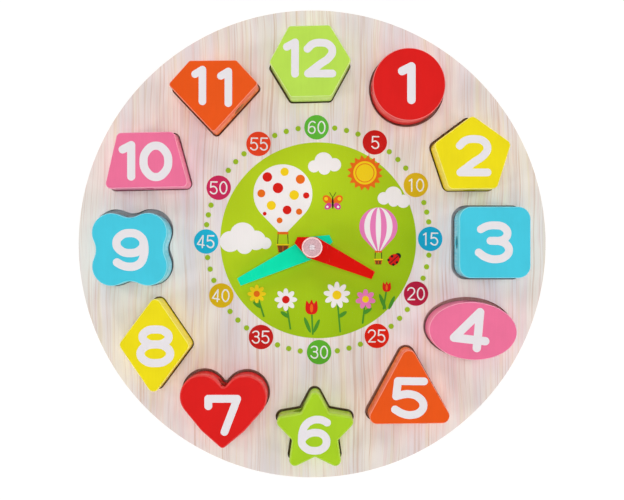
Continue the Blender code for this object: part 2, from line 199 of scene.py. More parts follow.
# Fineness: degrees on an arc, and the sides of round things
FINE_ARC = 6
ROUND = 64
HOLE_SIDES = 48
BLOCK_SIDES = 96
BOARD_SIDES = 288


# Places and outlines


def polar(radius, degrees):
    angle = math.radians(degrees)
    return Vector((radius * math.cos(angle), radius * math.sin(angle)))


def pixel_span(height):
    """The metres that a pixel of the picture spans on a level plane."""
    return METRES_PER_PIXEL * (CAMERA_HEIGHT - (height - FACE_TOP)) / CAMERA_HEIGHT


def seen_at(x, y, height):
    """The point on a level plane that the camera sees at a pixel of the picture."""
    across = x - PICTURE_MIDDLE_PX.x
    up = PICTURE_MIDDLE_PX.y - y
    return CAMERA_AIM + pixel_span(height) * Vector((across, up))


def belt(pulleys, grow=0.0):
    """The outline of a belt round pulleys (x, y, radius). A negative radius presses a hollow."""
    centres = [Vector((x, y)) for x, y, _ in pulleys]
    radii = [radius + grow for _, _, radius in pulleys]
    count = len(pulleys)
    headings = []
    for i in range(count):
        j = (i + 1) % count
        run = centres[j] - centres[i]
        lean = math.asin((radii[j] - radii[i]) / run.length)
        headings.append(math.atan2(run.y, run.x) - lean)
    points = []
    for i in range(count):
        points += bend(centres[i], radii[i], headings[i - 1], headings[i])
    return points


def bend(centre, radius, heading_in, heading_out):
    """The points of the arc on which the belt goes round one pulley."""
    full = 2 * math.pi
    if radius > 0:
        sweep = (heading_out - heading_in) % full
    else:
        sweep = -((heading_in - heading_out) % full)
    steps = max(1, math.ceil(abs(math.degrees(sweep)) / FINE_ARC))
    points = []
    for k in range(steps + 1):
        heading = heading_in + sweep * k / steps
        outward = Vector((math.sin(heading), -math.cos(heading)))
        points.append(centre + radius * outward)
    return points


def ellipse(length, width, centre=(0, 0), steps=ROUND, turn=0.0):
    points = []
    for k in range(steps):
        angle = math.tau * k / steps
        points.append(Vector((length / 2 * math.cos(angle), width / 2 * math.sin(angle))))
    return turned(points, turn, Vector(centre))


def turned(points, degrees, centre):
    turn = Matrix.Rotation(math.radians(degrees), 2)
    return [turn @ point + centre for point in points]


def hub_circle(diameter, steps=ROUND):
    return ellipse(diameter, diameter, HUB, steps)


def board_circle():
    return ellipse(2 * BOARD_RADIUS, 2 * BOARD_RADIUS, steps=BOARD_SIDES)


def spokes(count, ring, radius, first=90.0):
    """Pulleys of one radius, spread evenly on a ring."""
    return [(*polar(ring, first + 360 / count * i), radius) for i in range(count)]


def same_corners(corners, radius, grow):
    return belt([(x, y, radius) for x, y in corners], grow)


def hollow_centre(spread, lobe, hollow, straight):
    """How far a hollow's centre lies from the line of two lobes, where a straight joins them."""
    return math.sqrt((lobe + hollow + straight) ** 2 - spread**2)


def circle_outline(grow):
    size = CIRCLE_DIAMETER + 2 * grow
    return ellipse(size, size, steps=BLOCK_SIDES)


def pentagon_outline(grow):
    return belt(spokes(5, PENTAGON_REACH - PENTAGON_CORNER, PENTAGON_CORNER), grow)


def square_outline(grow):
    ring = math.sqrt(2) * (SQUARE_SIDE / 2 - SQUARE_CORNER)
    return belt(spokes(4, ring, SQUARE_CORNER, first=45.0), grow)


def oval_outline(grow):
    return ellipse(OVAL_LENGTH + 2 * grow, OVAL_WIDTH + 2 * grow, steps=BLOCK_SIDES)


def triangle_outline(grow):
    half = TRIANGLE_WIDTH / 2 - TRIANGLE_CORNER
    base = TRIANGLE_CORNER - TRIANGLE_HEIGHT / 3
    apex = 2 * TRIANGLE_HEIGHT / 3 - TRIANGLE_CORNER
    return same_corners([(0, apex), (-half, base), (half, base)], TRIANGLE_CORNER, grow)


def star_outline(grow):
    tips = spokes(5, STAR_REACH - STAR_TIP, STAR_TIP)
    notches = spokes(5, STAR_NOTCH_REACH + STAR_NOTCH, -STAR_NOTCH, first=126.0)
    return belt([pulley for pair in zip(tips, notches) for pulley in pair], grow)


def heart_outline(grow):
    """Two lobes and a tip. A pulley halfway down each flank makes it bulge a little."""
    spread = HEART_WIDTH / 2 - HEART_LOBE
    tip = HEART_TIP - HEART_DEPTH_TO_TIP
    flank = (HEART_LOBE + HEART_TIP) / 2 + HEART_BULGE
    notch = hollow_centre(spread, HEART_LOBE, HEART_NOTCH, HEART_STRAIGHT)
    pulleys = [
        (0, tip, HEART_TIP),
        (spread / 2, tip / 2, flank),
        (spread, 0, HEART_LOBE),
        (0, notch, -HEART_NOTCH),
        (-spread, 0, HEART_LOBE),
        (-spread / 2, tip / 2, flank),
    ]
    return belt(pulleys, grow)


def rhombus_outline(grow):
    across = RHOMBUS_WIDTH / 2 - RHOMBUS_CORNER
    along = RHOMBUS_HEIGHT / 2 - RHOMBUS_CORNER
    corners = [(0, along), (-across, 0), (0, -along), (across, 0)]
    return same_corners(corners, RHOMBUS_CORNER, grow)


def clover_outline(grow):
    """Four lobes, with a hollow between each two."""
    across = CLOVER_WIDTH / 2 - CLOVER_LOBE
    along = CLOVER_HEIGHT / 2 - CLOVER_LOBE
    side = across + hollow_centre(along, CLOVER_LOBE, CLOVER_HOLLOW, CLOVER_STRAIGHT)
    end = along + hollow_centre(across, CLOVER_LOBE, CLOVER_HOLLOW, CLOVER_STRAIGHT)
    pulleys = [
        (across, along, CLOVER_LOBE),
        (0, end, -CLOVER_HOLLOW),
        (-across, along, CLOVER_LOBE),
        (-side, 0, -CLOVER_HOLLOW),
        (-across, -along, CLOVER_LOBE),
        (0, -end, -CLOVER_HOLLOW),
        (across, -along, CLOVER_LOBE),
        (side, 0, -CLOVER_HOLLOW),
    ]
    return belt(pulleys, grow)


def trapezoid_outline(grow):
    top = TRAPEZOID_HEIGHT / 2 - TRAPEZOID_CORNER
    wide = TRAPEZOID_BASE / 2 - TRAPEZOID_CORNER
    narrow = TRAPEZOID_TOP / 2 - TRAPEZOID_CORNER
    corners = [(narrow, top), (-narrow, top), (-wide, -top), (wide, -top)]
    return same_corners(corners, TRAPEZOID_CORNER, grow)


def gem_outline(grow):
    top = GEM_CROWN - GEM_CORNER
    narrow = GEM_TOP / 2 - GEM_CORNER
    wide = GEM_WIDTH / 2 - GEM_CORNER
    tip = GEM_CORNER - GEM_DEPTH
    corners = [(narrow, top), (-narrow, top), (-wide, 0), (0, tip), (wide, 0)]
    return same_corners(corners, GEM_CORNER, grow)


def hexagon_outline(grow):
    return belt(spokes(6, HEXAGON_REACH - HEXAGON_CORNER, HEXAGON_CORNER, first=0.0), grow)


# The blocks: clock angle, share of the ring's radius, the block's turn and its recess's,
# the share of the usual clearance, how far the block has slid in it (two shares of that),
# the angle of the bore from +X, and the numerals: digit, the pixel box that it fills in the
# picture, and the pen's width.
Block = namedtuple(
    "Block",
    "node outline paint clock_angle ring_share turn recess_turn room_share slide bore numerals",
)
BLOCKS = (
    Block("block_01_circle", circle_outline, "red", 31.3, 1.0125, 0.0, 0.0, 1.0, (-0.2, 0.0), 0,
          [("1", 397.9, 62.2, 415.6, 104.1, 8.4)]),
    Block("block_02_pentagon", pentagon_outline, "yellow", 61.35, 0.993, 0.5, 0.5, 0.8, (0.0, -0.6), 90,
          [("2", 455.9, 135.1, 491.3, 176.3, 7.75)]),
    Block("block_03_square", square_outline, "cyan", 89.6, 0.992, 0.0, 0.0, 1.0, (0.4, -0.1), 0,
          [("3", 474.8, 221.4, 512.9, 263.2, 7.85)]),
    Block("block_04_oval", oval_outline, "pink", 118.5, 0.993, -3.0, -3.0, 1.0, (-0.1, -0.5), 90,
          [("4", 449.8, 308.0, 489.4, 352.2, 8.4)]),
    Block("block_05_triangle", triangle_outline, "orange", 148.0, 0.9955, 0.7, 0.3, 0.85, (0.3, -0.1), 60,
          [("5", 391.1, 377.1, 427.9, 418.8, 7.85)]),
    Block("block_06_star", star_outline, "lime", 179.1, 1.027, 0.0, 0.0, 0.8, (0.2, -0.35), 126,
          [("6", 297.9, 415.7, 330.9, 454.6, 7.65)]),
    Block("block_07_heart", heart_outline, "red", 210.1, 0.9625, -1.0, -1.0, 0.75, (0.0, -0.6), 90,
          [("7", 204.4, 394.9, 241.1, 435.8, 7.8)]),
    Block("block_08_rhombus", rhombus_outline, "yellow", 237.2, 1.019, -1.2, -1.2, 0.65, (0.3, 0.2), -38,
          [("8", 136.4, 325.4, 174.2, 367.1, 8.1)]),
    Block("block_09_clover", clover_outline, "cyan", 268.2, 0.991, 0.5, 0.5, 1.3, (0.45, -0.66), 90,
          [("9", 112.3, 228.9, 148.6, 270.9, 8.25)]),
    Block("block_10_trapezoid", trapezoid_outline, "pink", 296.75, 1.009, 1.2, 1.2, 0.72, (0.4, -0.5), 90,
          [("1", 118.6, 141, 135.3, 180.6, 8.15), ("0", 139.4, 141.5, 172.4, 181.2, 8.25)]),
    Block("block_11_gem", gem_outline, "orange", 328.2, 1.019, 0.5, 0.5, 0.65, (-0.1, 0.05), -41,
          [("1", 191.3, 65.9, 206.2, 105.2, 7.55), ("1", 217.1, 67.7, 232.1, 107, 7.55)]),
    Block("block_12_hexagon", hexagon_outline, "pale_lime", 359.4, 0.991, 1.4, 1.4, 0.6, (0.3, 0.2), 0,
          [("1", 283, 38.6, 298.9, 77.6, 7.75), ("2", 303.6, 38.8, 336.2, 77.4, 7.75)]),
)

# Each digit as the smooth runs of a round pen, in shares of the box that the pen's middle
# fills. The pen lifts, or turns a corner, where a run ends. A run that ends in "round" closes.
DIGITS = {
    "0": [[(0.5, 1.0), (0.14, 0.84), (0.0, 0.5), (0.14, 0.16), (0.5, 0.0), (0.86, 0.16),
           (1.0, 0.5), (0.86, 0.84), "round"]],
    "1": [[(0.0, 0.86), (1.0, 1.0)], [(1.0, 1.0), (1.0, 0.0)]],
    "2": [[(0.0, 0.8), (0.2, 0.95), (0.52, 1.0), (0.86, 0.93), (1.0, 0.73), (0.86, 0.51),
           (0.52, 0.31), (0.02, 0.0)], [(0.02, 0.0), (1.0, 0.0)]],
    "3": [[(0.07, 0.885), (0.26, 0.97), (0.53, 1.0), (0.83, 0.94), (0.95, 0.77), (0.86, 0.61),
           (0.66, 0.545), (0.39, 0.545)],
          [(0.39, 0.545), (0.69, 0.53), (0.92, 0.43), (1.0, 0.26), (0.89, 0.09), (0.56, 0.0),
           (0.21, 0.07), (0.0, 0.2)]],
    "4": [[(0.835, 1.0), (0.0, 0.29)], [(0.0, 0.29), (1.0, 0.19)], [(0.835, 1.0), (0.73, 0.0)]],
    "5": [[(1.0, 0.99), (0.1, 1.0)], [(0.1, 1.0), (0.04, 0.55)],
          [(0.04, 0.55), (0.27, 0.6), (0.55, 0.61), (0.84, 0.5), (0.98, 0.3), (0.88, 0.1),
           (0.59, 0.0), (0.27, 0.035), (0.0, 0.16)]],
    "6": [[(1.0, 0.9), (0.84, 0.97), (0.62, 1.0), (0.38, 0.96), (0.16, 0.83), (0.03, 0.6),
           (0.0, 0.3)],
          [(0.0, 0.3), (0.12, 0.11), (0.48, 0.0), (0.86, 0.09), (0.98, 0.3), (0.86, 0.5),
           (0.5, 0.58), (0.14, 0.47), "round"]],
    "7": [[(0.0, 0.78), (0.0, 1.0)], [(0.0, 1.0), (1.0, 1.0)], [(1.0, 1.0), (0.56, 0.0)]],
    "8": [[(0.51, 1.0), (0.19, 0.935), (0.07, 0.78), (0.19, 0.62), (0.51, 0.555), (0.83, 0.62),
           (0.95, 0.78), (0.83, 0.935), "round"],
          [(0.5, 0.555), (0.14, 0.475), (0.0, 0.28), (0.14, 0.08), (0.5, 0.0), (0.86, 0.08),
           (1.0, 0.28), (0.86, 0.475), "round"]],
    "9": [[(0.97, 0.7), (0.83, 0.91), (0.48, 1.0), (0.14, 0.91), (0.0, 0.7), (0.14, 0.49),
           (0.48, 0.405), (0.85, 0.5), "round"],
          [(0.97, 0.74), (1.0, 0.55), (0.98, 0.35), (0.88, 0.14), (0.7, 0.03), (0.46, 0.0),
           (0.22, 0.04), (0.02, 0.13)]],
}

# The twelve minute marks: number, middle in the picture, how far its digits are printed to
# the side, colour of the disc
MINUTE_MARKS = (
    ("60", 316.5, 127.3, 0.3, (98, 188, 60)),
    ("5", 374.8, 142.4, 0.45, (204, 30, 25)),
    ("10", 415.8, 185.0, -0.4, (222, 181, 27)),
    ("15", 430.2, 238.9, -0.6, (24, 170, 210)),
    ("20", 416.0, 293.6, 0.15, (184, 30, 64)),
    ("25", 376.8, 335.9, 0.0, (223, 36, 18)),
    ("30", 319.1, 352.1, 0.2, (94, 180, 48)),
    ("35", 261.0, 337.0, -0.2, (199, 31, 28)),
    ("40", 221.3, 295.5, -0.5, (224, 184, 22)),
    ("45", 206.2, 241.5, -0.4, (32, 183, 217)),
    ("50", 218.7, 187.7, 0.0, (205, 44, 92)),
    ("55", 258.5, 143.9, 0.65, (238, 70, 36)),
)
MARK_DISC_PX = 24.45

# A minute's digit in the picture: its width, how far it reaches over and under the disc's
# middle, where one digit or two start from there, and what a 1 leaves free on each side
DIGIT_WIDTH_PX = 8.1
DIGIT_RISE_PX = 6.5
DIGIT_FALL_PX = 6.7
DIGIT_LEFTS_PX = {1: (-3.95,), 2: (-9.05, 0.65)}
ONE_INSETS_PX = (2.38, 2.04)

# Three dots between each two marks: clock angle of the middle one, the angle between two
# of them, and how far they lie from the dial's middle in the picture
DOTS = (
    (14.6, 6.1, 112.7),
    (44.9, 5.9, 113.0),
    (75.8, 5.1, 112.0),
    (104.1, 6.1, 111.8),
    (134.0, 5.9, 113.3),
    (164.1, 6.1, 112.8),
    (195.1, 6.0, 112.8),
    (224.9, 5.9, 113.6),
    (254.7, 6.1, 111.9),
    (282.7, 5.1, 112.4),
    (313.4, 5.8, 113.3),
    (343.6, 6.2, 112.7),
)
DOT_PX = 5.3
DIAL_MIDDLE_PX = (318.1, 239.6)
FIELD_MIDDLE_PX = (318.2, 240.3)
FIELD_RADIUS = 0.0472

# The paints as they look, 0 to 255, each with the slot of the model that it belongs to, the
# colour painted on its walls as light (for yellow, a golden painted shade instead), and how
# strongly that colour lies low on the walls
Paint = namedtuple("Paint", "slot colour thin_colour thinned")
PAINTS = {
    "red": Paint("red", (219, 28, 26), (239, 153, 152), 0.06),
    "yellow": Paint("yellow", (237, 219, 22), (224, 178, 62), 0.4),
    "cyan": Paint("cyan", (70, 200, 223), (200, 234, 246), 0.55),
    "pink": Paint("pink", (236, 113, 153), (246, 191, 209), 0.12),
    "orange": Paint("orange", (233, 86, 22), (255, 176, 112), 0.46),
    "lime": Paint("lime", (166, 206, 36), (215, 233, 156), 0.32),
    # Block 12's lime, painted paler for the sheen on its top: a painted reflection
    "pale_lime": Paint("lime", (184, 222, 82), (223, 240, 177), 0.34),
}
NUMERAL_WHITE = (232, 227, 230)

# The recesses as they look, wood browned by the cutter with each block's colour painted in as
# reflected light and painted shade in the gaps: their walls, their floors along the walls, the
# painted shade on the block's foot and how strong it is
Recess = namedtuple("Recess", "walls floor soot smudged")
RECESSES = {
    "red": Recess((124, 50, 38), (204, 130, 112), (66, 12, 10), 0.45),
    "yellow": Recess((96, 50, 20), (176, 126, 84), (78, 36, 10), 0.8),
    "cyan": Recess((38, 44, 50), (208, 209, 214), (16, 40, 48), 0.75),
    "pink": Recess((150, 70, 68), (230, 172, 166), (100, 24, 34), 0.35),
    "orange": Recess((100, 28, 18), (210, 136, 110), (64, 10, 4), 0.7),
    "lime": Recess((32, 26, 8), (134, 112, 74), (28, 34, 6), 0.85),
}

# The inks of the dial as they look: its green field, with its ink light and heavy, the
# minutes' and the dots', and those of the picture
FIELD_GREEN = (184, 211, 31)
HEAVIER_GREEN = (158, 194, 22)
DOT_GREEN = (158, 192, 40)
MINUTE_WHITE = (240, 238, 236)
INKS = {
    "leaf": (74, 146, 44),
    "white": (244, 238, 236),
    "red": (216, 30, 22),
    "orange": (234, 108, 26),
    "yellow": (246, 208, 28),
    "pink": (234, 126, 184),
    "rose": (214, 70, 144),
    "brown": (128, 68, 30),
    "black": (38, 32, 30),
}


# Materials


def seen(red, green, blue, alpha=1.0):
    """A colour given as it looks on a screen, 0 to 255, as the shader wants it."""
    linear = []
    for part in (red, green, blue):
        share = part / 255
        linear.append(share / 12.92 if share <= 0.04045 else ((share + 0.055) / 1.055) ** 2.4)
    return (*linear, alpha)


def paler(colour, share):
    """The colour as it looks, moved towards white."""
    return [part + (255 - part) * share for part in colour]


class Signal:
    """A number that changes over a surface. Sums and products of it add Math nodes."""

    def __init__(self, nodes, socket):
        self.nodes = nodes
        self.socket = socket

    def joined(self, operation, first, second):
        return self.nodes.add("ShaderNodeMath", {"operation": operation}, {0: first, 1: second})

    def either(self, other):
        """1 where one of two masks is 1."""
        return self.joined("MAXIMUM", self, other)

    def __add__(self, other):
        return self.joined("ADD", self, other)

    __radd__ = __add__

    def __sub__(self, other):
        return self.joined("SUBTRACT", self, other)

    def __rsub__(self, other):
        return self.joined("SUBTRACT", other, self)

    def __mul__(self, other):
        return self.joined("MULTIPLY", self, other)

    __rmul__ = __mul__

    def __truediv__(self, other):
        return self.joined("DIVIDE", self, other)

    def __rtruediv__(self, other):
        return self.joined("DIVIDE", other, self)


class Nodes:
    """A node tree, and the one way in which a node is added to it."""

    def __init__(self, tree):
        self.tree = tree

    def add(self, kind, settings=None, inputs=None, output=0):
        node = self.tree.nodes.new(kind)
        for key, value in (settings or {}).items():
            setattr(node, key, value)
        for key, value in (inputs or {}).items():
            self.feed(node.inputs[key], value)
        return Signal(self, node.outputs[output])

    def feed(self, socket, value):
        if isinstance(value, Signal):
            self.tree.links.new(value.socket, socket)
        else:
            socket.default_value = value

    def surface(self, output, shader):
        """Makes the shader what the material or the world shows."""
        self.feed(self.tree.nodes[output].inputs["Surface"], shader)


class Finish(Nodes):
    """A material with one Principled shader, and the nodes that feed it."""

    def __init__(self, name, **constants):
        self.material = bpy.data.materials.new(name)
        self.material.use_nodes = True
        super().__init__(self.material.node_tree)
        self.shader = self.tree.nodes["Principled BSDF"]
        self.set(**constants)

    def set(self, **channels):
        for socket, value in channels.items():
            self.feed(self.shader.inputs[socket.replace("_", " ")], value)

    def position(self, stretch=(1, 1, 1), turn=0.0, shift=(0, 0, 0), point=None):
        """Object coordinates, or a point's, stretched, turned about Z in degrees and shifted."""
        if point is None:
            point = self.add("ShaderNodeTexCoord", output=3)
        spin = (0, 0, math.radians(turn))
        places = {"Vector": point, "Location": shift, "Rotation": spin, "Scale": stretch}
        return self.add("ShaderNodeMapping", None, places)

    def bent(self, point, reach, scale):
        """The point moved sideways along X, up to the reach, as slow noise has it."""
        sway = (self.noise(self.position(), scale, 1) - 0.5) * (2 * reach)
        aside = self.add("ShaderNodeCombineXYZ", None, {0: sway})
        return self.add("ShaderNodeVectorMath", {"operation": "ADD"}, {0: point, 1: aside})

    def noise(self, where, scale, detail=3.0, rough=0.5, warp=0.0):
        sizes = {"Vector": where, "Scale": scale, "Detail": detail, "Roughness": rough, "Distortion": warp}
        return self.add("ShaderNodeTexNoise", None, sizes)

    def between(self, value, low, high, start=0.0, end=1.0):
        """A smooth step: start where the value is under low, end where it is over high."""
        ends = {"Value": value, "From Min": low, "From Max": high, "To Min": start, "To Max": end}
        return self.add("ShaderNodeMapRange", {"interpolation_type": "SMOOTHSTEP"}, ends)

    def mix(self, share, first, second, blend="MIX"):
        settings = {"data_type": "RGBA", "blend_type": blend, "clamp_result": True}
        return self.add("ShaderNodeMix", settings, {0: share, 6: first, 7: second}, output=2)

    def tone(self, colour, value):
        """The colour made lighter or darker by a factor."""
        grey = self.add("ShaderNodeCombineColor", None, {0: value, 1: value, 2: value})
        return self.mix(1.0, colour, grey, blend="MULTIPLY")

    def axis(self, vector, index):
        return self.add("ShaderNodeSeparateXYZ", None, {0: vector}, output=index)

    def facing_up(self):
        """The upright part of the surface's direction: 1 on a top, 0 on a wall."""
        return self.axis(self.add("ShaderNodeNewGeometry", output=1), 2)

    def bump(self, height, distance, strength=1.0):
        """Height runs 0 to 1 and stands for the distance, in metres."""
        sizes = {"Strength": strength, "Distance": distance, "Height": height}
        self.set(Normal=self.add("ShaderNodeBump", None, sizes))


def pine_face():
    """Whitewashed pine, lacquered: pale boards with rosy, lilac and straw-coloured grain along Y."""
    wood = Finish("whitewashed_pine", Specular_IOR_Level=0.2)
    point = wood.bent(wood.position(), 0.003, 22)
    bands = wood.noise(wood.position((1, 0.09, 1), point=point), 110, 2, 0.5)
    rosy = wood.noise(wood.position((1, 0.05, 1), point=point, shift=(0.3, 0.1, 0)), 380, 3, 0.6)
    straw = wood.noise(wood.position((1, 0.03, 1), point=point, shift=(0.7, 0.4, 0)), 300, 3, 0.6)
    veins = wood.noise(wood.position((1, 0.012, 1), point=point, shift=(0.1, 0.9, 0)), 700, 3, 0.55)
    threads = wood.noise(wood.position((1, 0.009, 1), point=point, shift=(0.6, 0.2, 0)), 1350, 2, 0.5)
    fade = wood.between(wood.noise(wood.position((1, 0.2, 1), shift=(0.5, 0, 0)), 60, 2), 0.34, 0.6)
    fibre = wood.noise(wood.position((1, 0.02, 1), point=point), 2400, 2, 0.6)
    colour = wood.mix(wood.between(bands, 0.36, 0.64), seen(234, 225, 226), seen(242, 233, 224))
    colour = wood.mix(wood.between(rosy, 0.5, 0.66) * 0.42, colour, seen(234, 206, 202))
    colour = wood.mix(wood.between(straw, 0.55, 0.68) * 0.36, colour, seen(233, 217, 180))
    colour = wood.mix(wood.between(threads, 0.57, 0.62) * 0.3, colour, seen(212, 178, 156))
    vein = wood.between(veins, 0.595, 0.645)
    colour = wood.mix(vein * fade * 0.46, colour, seen(204, 160, 134))
    colour = wood.tone(colour, wood.between(fibre, 0.2, 0.8, 0.97, 1.03))
    wood.set(Base_Color=colour, Roughness=wood.between(fibre, 0.2, 0.8, 0.5, 0.62))
    wood.bump(fibre * 0.7 - vein * 0.3, 0.00006, 0.5)
    return wood.material


def shaded_scorched_wall(paint, colour):
    """The walls of a recess, browned by the cutter, with paler streaks here and there. Their
    colour also holds painted shade and the block's colour as painted reflection.
    """
    burnt = Finish("scorched_shaded_wall_" + paint, Specular_IOR_Level=0.0)
    where = burnt.position(stretch=(1, 1, 6))
    streaks = burnt.noise(where, 900, 3, 0.6)
    dusted = [part * 0.7 + 62 for part in colour]
    colour = burnt.mix(burnt.between(streaks, 0.35, 0.7), seen(*colour), seen(*dusted))
    burnt.set(Base_Color=colour, Roughness=burnt.between(streaks, 0.3, 0.7, 0.7, 0.9))
    burnt.bump(streaks, 0.0001, 0.4)
    return burnt.material


def burnt_mouth():
    """The thin dark line that the hot cutter leaves round the mouth of a recess."""
    burnt = Finish("burnt_mouth", Specular_IOR_Level=0.0)
    char = burnt.noise(burnt.position(), 700, 3, 0.6)
    colour = burnt.mix(burnt.between(char, 0.35, 0.65), seen(34, 16, 12), seen(66, 30, 22))
    burnt.set(Base_Color=colour, Roughness=burnt.between(char, 0.3, 0.7, 0.7, 0.9))
    burnt.bump(char, 0.00006, 0.4)
    return burnt.material


def recess_floor(name, colour):
    """The wood at the bottom of a recess: bare, and along the walls given the recess's colour:
    painted shade, and the block's colour as painted reflection.
    """
    floor = Finish(name, Specular_IOR_Level=0.0)
    mottle = floor.noise(floor.position(), 420, 3, 0.6)
    fibre = floor.noise(floor.position((1, 0.03, 1)), 1800, 3, 0.6)
    dusted = [part * 0.8 + 48 for part in colour]
    floor_shade_and_reflection = floor.mix(floor.between(mottle, 0.35, 0.65), seen(*colour), seen(*dusted))
    margin = floor.add("ShaderNodeAttribute", {"attribute_name": "margin"}, output=2)
    drift = floor.noise(floor.position(), 300, 3)
    # Painted shade and reflection, strongest where the wall is near
    edge = floor.between(margin + (drift - 0.5) * 0.003, 0.0055, 0.0027)
    colour = floor.mix(edge, seen(212, 184, 152), floor_shade_and_reflection)
    colour = floor.tone(colour, floor.between(fibre, 0.25, 0.75, 0.92, 1.05))
    floor.set(Base_Color=colour, Roughness=floor.between(mottle, 0.3, 0.7, 0.65, 0.85))
    floor.bump(fibre, 0.00008, 0.4)
    return floor.material


def plywood_edge(low, high):
    """The edge of one layer: thin veneers, alternately along and across the grain."""
    edge = Finish("plywood_edge", Specular_IOR_Level=0.3)
    height = edge.axis(edge.position(), 2)
    band = (height - low) / (high - low) * 3
    wave = edge.add("ShaderNodeMath", {"operation": "PINGPONG"}, {0: band, 1: 1.0})
    cross = edge.between(wave, 0.42, 0.58)
    fibre = edge.noise(edge.position(stretch=(1, 1, 9)), 700, 4, 0.65)
    pores = edge.noise(edge.position(stretch=(1, 1, 0.6)), 2200, 2, 0.6)
    light = edge.mix(edge.between(fibre, 0.3, 0.7), seen(214, 190, 158), seen(232, 214, 188))
    dark = edge.mix(edge.between(pores, 0.35, 0.65), seen(176, 142, 108), seen(204, 174, 138))
    edge.set(Base_Color=edge.mix(cross, light, dark), Roughness=edge.between(fibre, 0.3, 0.7, 0.55, 0.75))
    edge.bump(fibre * 0.6 + pores * 0.4, 0.00012, 0.4)
    return edge.material


def plain_birch():
    """The unprinted wood of the back: rotary-cut veneer with broad soft figures."""
    wood = Finish("plain_birch", Specular_IOR_Level=0.3)
    along = wood.position(stretch=(1, 0.07, 1))
    figure = wood.noise(along, 60, 4, 0.6, 1.2)
    rings = wood.between(wood.noise(along, 190, 3, 0.6, 0.6), 0.45, 0.7)
    fibre = wood.noise(wood.position(stretch=(1, 0.025, 1)), 2400, 2, 0.6)
    colour = wood.mix(wood.between(figure, 0.3, 0.7), seen(214, 190, 156), seen(232, 212, 182))
    colour = wood.mix(rings * 0.5, colour, seen(198, 166, 128))
    colour = wood.tone(colour, wood.between(fibre, 0.2, 0.8, 0.95, 1.03))
    wood.set(Base_Color=colour, Roughness=wood.between(fibre, 0.2, 0.8, 0.5, 0.7))
    wood.bump(fibre, 0.0001, 0.4)
    return wood.material


def block_paint(name, paint, recess, rim_lightening):
    """Sprayed satin paint over sanded wood, scuffed along the edges. Painted light and shade too:
    a highlight along the rims, the walls paler as lit (yellow's darker gold, as shade), and the
    foot darker, as shade down in the recess."""
    coat = Finish(name, Specular_IOR_Level=0.04, Coat_Roughness=0.14)
    grain = coat.noise(coat.position((1, 0.08, 0.3)), 1100, 3, 0.6, 0.3)
    cloud = coat.noise(coat.position(), 90, 2)
    peel = coat.noise(coat.position(), 2800, 2, 0.5)
    up = coat.facing_up()
    edge = coat.between(up, 0.1, 0.5) * coat.between(up, 0.99, 0.8)
    # Partly scuffing and partly painted highlight: patches of the rounded edges paler, and rougher
    wear_and_highlight = edge * coat.between(coat.noise(coat.position(), 420, 3, 0.7), 0.3, 0.62)
    base = coat.tone(seen(*paint.colour), coat.between(cloud, 0.3, 0.7, 0.97, 1.02))
    base = coat.tone(base, coat.between(grain, 0.25, 0.75, 0.986, 1.012))
    base = coat.mix(wear_and_highlight * 0.1, base, seen(*paler(paint.colour, 0.55)))
    # Painted highlight: a narrow paler band on the rounded rim, where an edge catches the light
    painted_rim_highlight = coat.between(up, 0.3, 0.5) * coat.between(up, 0.88, 0.7)
    base = coat.mix(painted_rim_highlight * rim_lightening, base, seen(*paler(paint.colour, 0.75)))
    height = coat.axis(coat.position(), 2)
    streaks = coat.noise(coat.position((1, 1, 0.12)), 800, 3, 0.6)
    # Painted light on the walls, stronger low down: paler as lit, and on yellow golden as shade
    thin = coat.between(up, 0.6, 0.1) * coat.between(height, BLOCK_TOP - 0.001, FACE_TOP + 0.003)
    thin = thin * coat.between(streaks, 0.3, 0.65, 0.3 * paint.thinned, paint.thinned)
    base = coat.mix(thin, base, seen(*paint.thin_colour))
    # Painted shade: the block's foot, down in the recess, darkened towards the recess's dark colour
    foot_shade = coat.between(height, FACE_TOP + 0.0004, FACE_TOP - 0.0006)
    base = coat.mix(foot_shade * recess.smudged, base, seen(*recess.soot))
    coat.set(
        Base_Color=base,
        Roughness=coat.between(peel, 0.3, 0.7, 0.3, 0.4) + wear_and_highlight * 0.08,
        Coat_Weight=coat.between(up, 0.75, 0.2, 0, 0.4),
    )
    coat.bump(peel * 0.5 + grain * 0.5, 0.00003, 0.4)
    return coat.material


def bare_bore(name, colour):
    """The inside of a lacing bore: drilled wood with sprayed colour in it, darkened as painted shade."""
    bare = Finish(name, Specular_IOR_Level=0.2)
    rings = bare.noise(bare.position(), 1500, 3, 0.6)
    # Painted shade: the colour darkened inside the bore
    shaded_colour = seen(*[part * 0.85 for part in colour])
    wood = seen(196, 158, 118)
    bare.set(Base_Color=bare.mix(bare.between(rings, 0.4, 0.75) * 0.4, shaded_colour, wood), Roughness=0.8)
    bare.bump(rings, 0.0001, 0.5)
    return bare.material


def printed_ink(name, colour, speckle=0.03, heavier=None):
    """Screen-printed ink on grained wood: nearly even, with the grain just showing. It may
    have been laid on heavier towards the lower right."""
    ink = Finish(name, Specular_IOR_Level=0.03)
    fibre = ink.noise(ink.position(stretch=(1, 0.04, 1)), 1500, 3, 0.6)
    grit = ink.noise(ink.position(), 3600, 2, 0.6)
    base = seen(*colour)
    if heavier:
        along = ink.axis(ink.position(), 0) - ink.axis(ink.position(), 1)
        base = ink.mix(ink.between(along, -0.04, 0.055), base, seen(*heavier))
    base = ink.tone(base, ink.between(fibre, 0.25, 0.75, 1 - speckle, 1 + speckle / 2))
    base = ink.mix(ink.between(grit, 0.66, 0.74) * 0.12, base, seen(232, 222, 214))
    ink.set(Base_Color=base, Roughness=ink.between(grit, 0.3, 0.7, 0.42, 0.56))
    ink.bump(fibre, 0.00004, 0.35)
    return ink.material


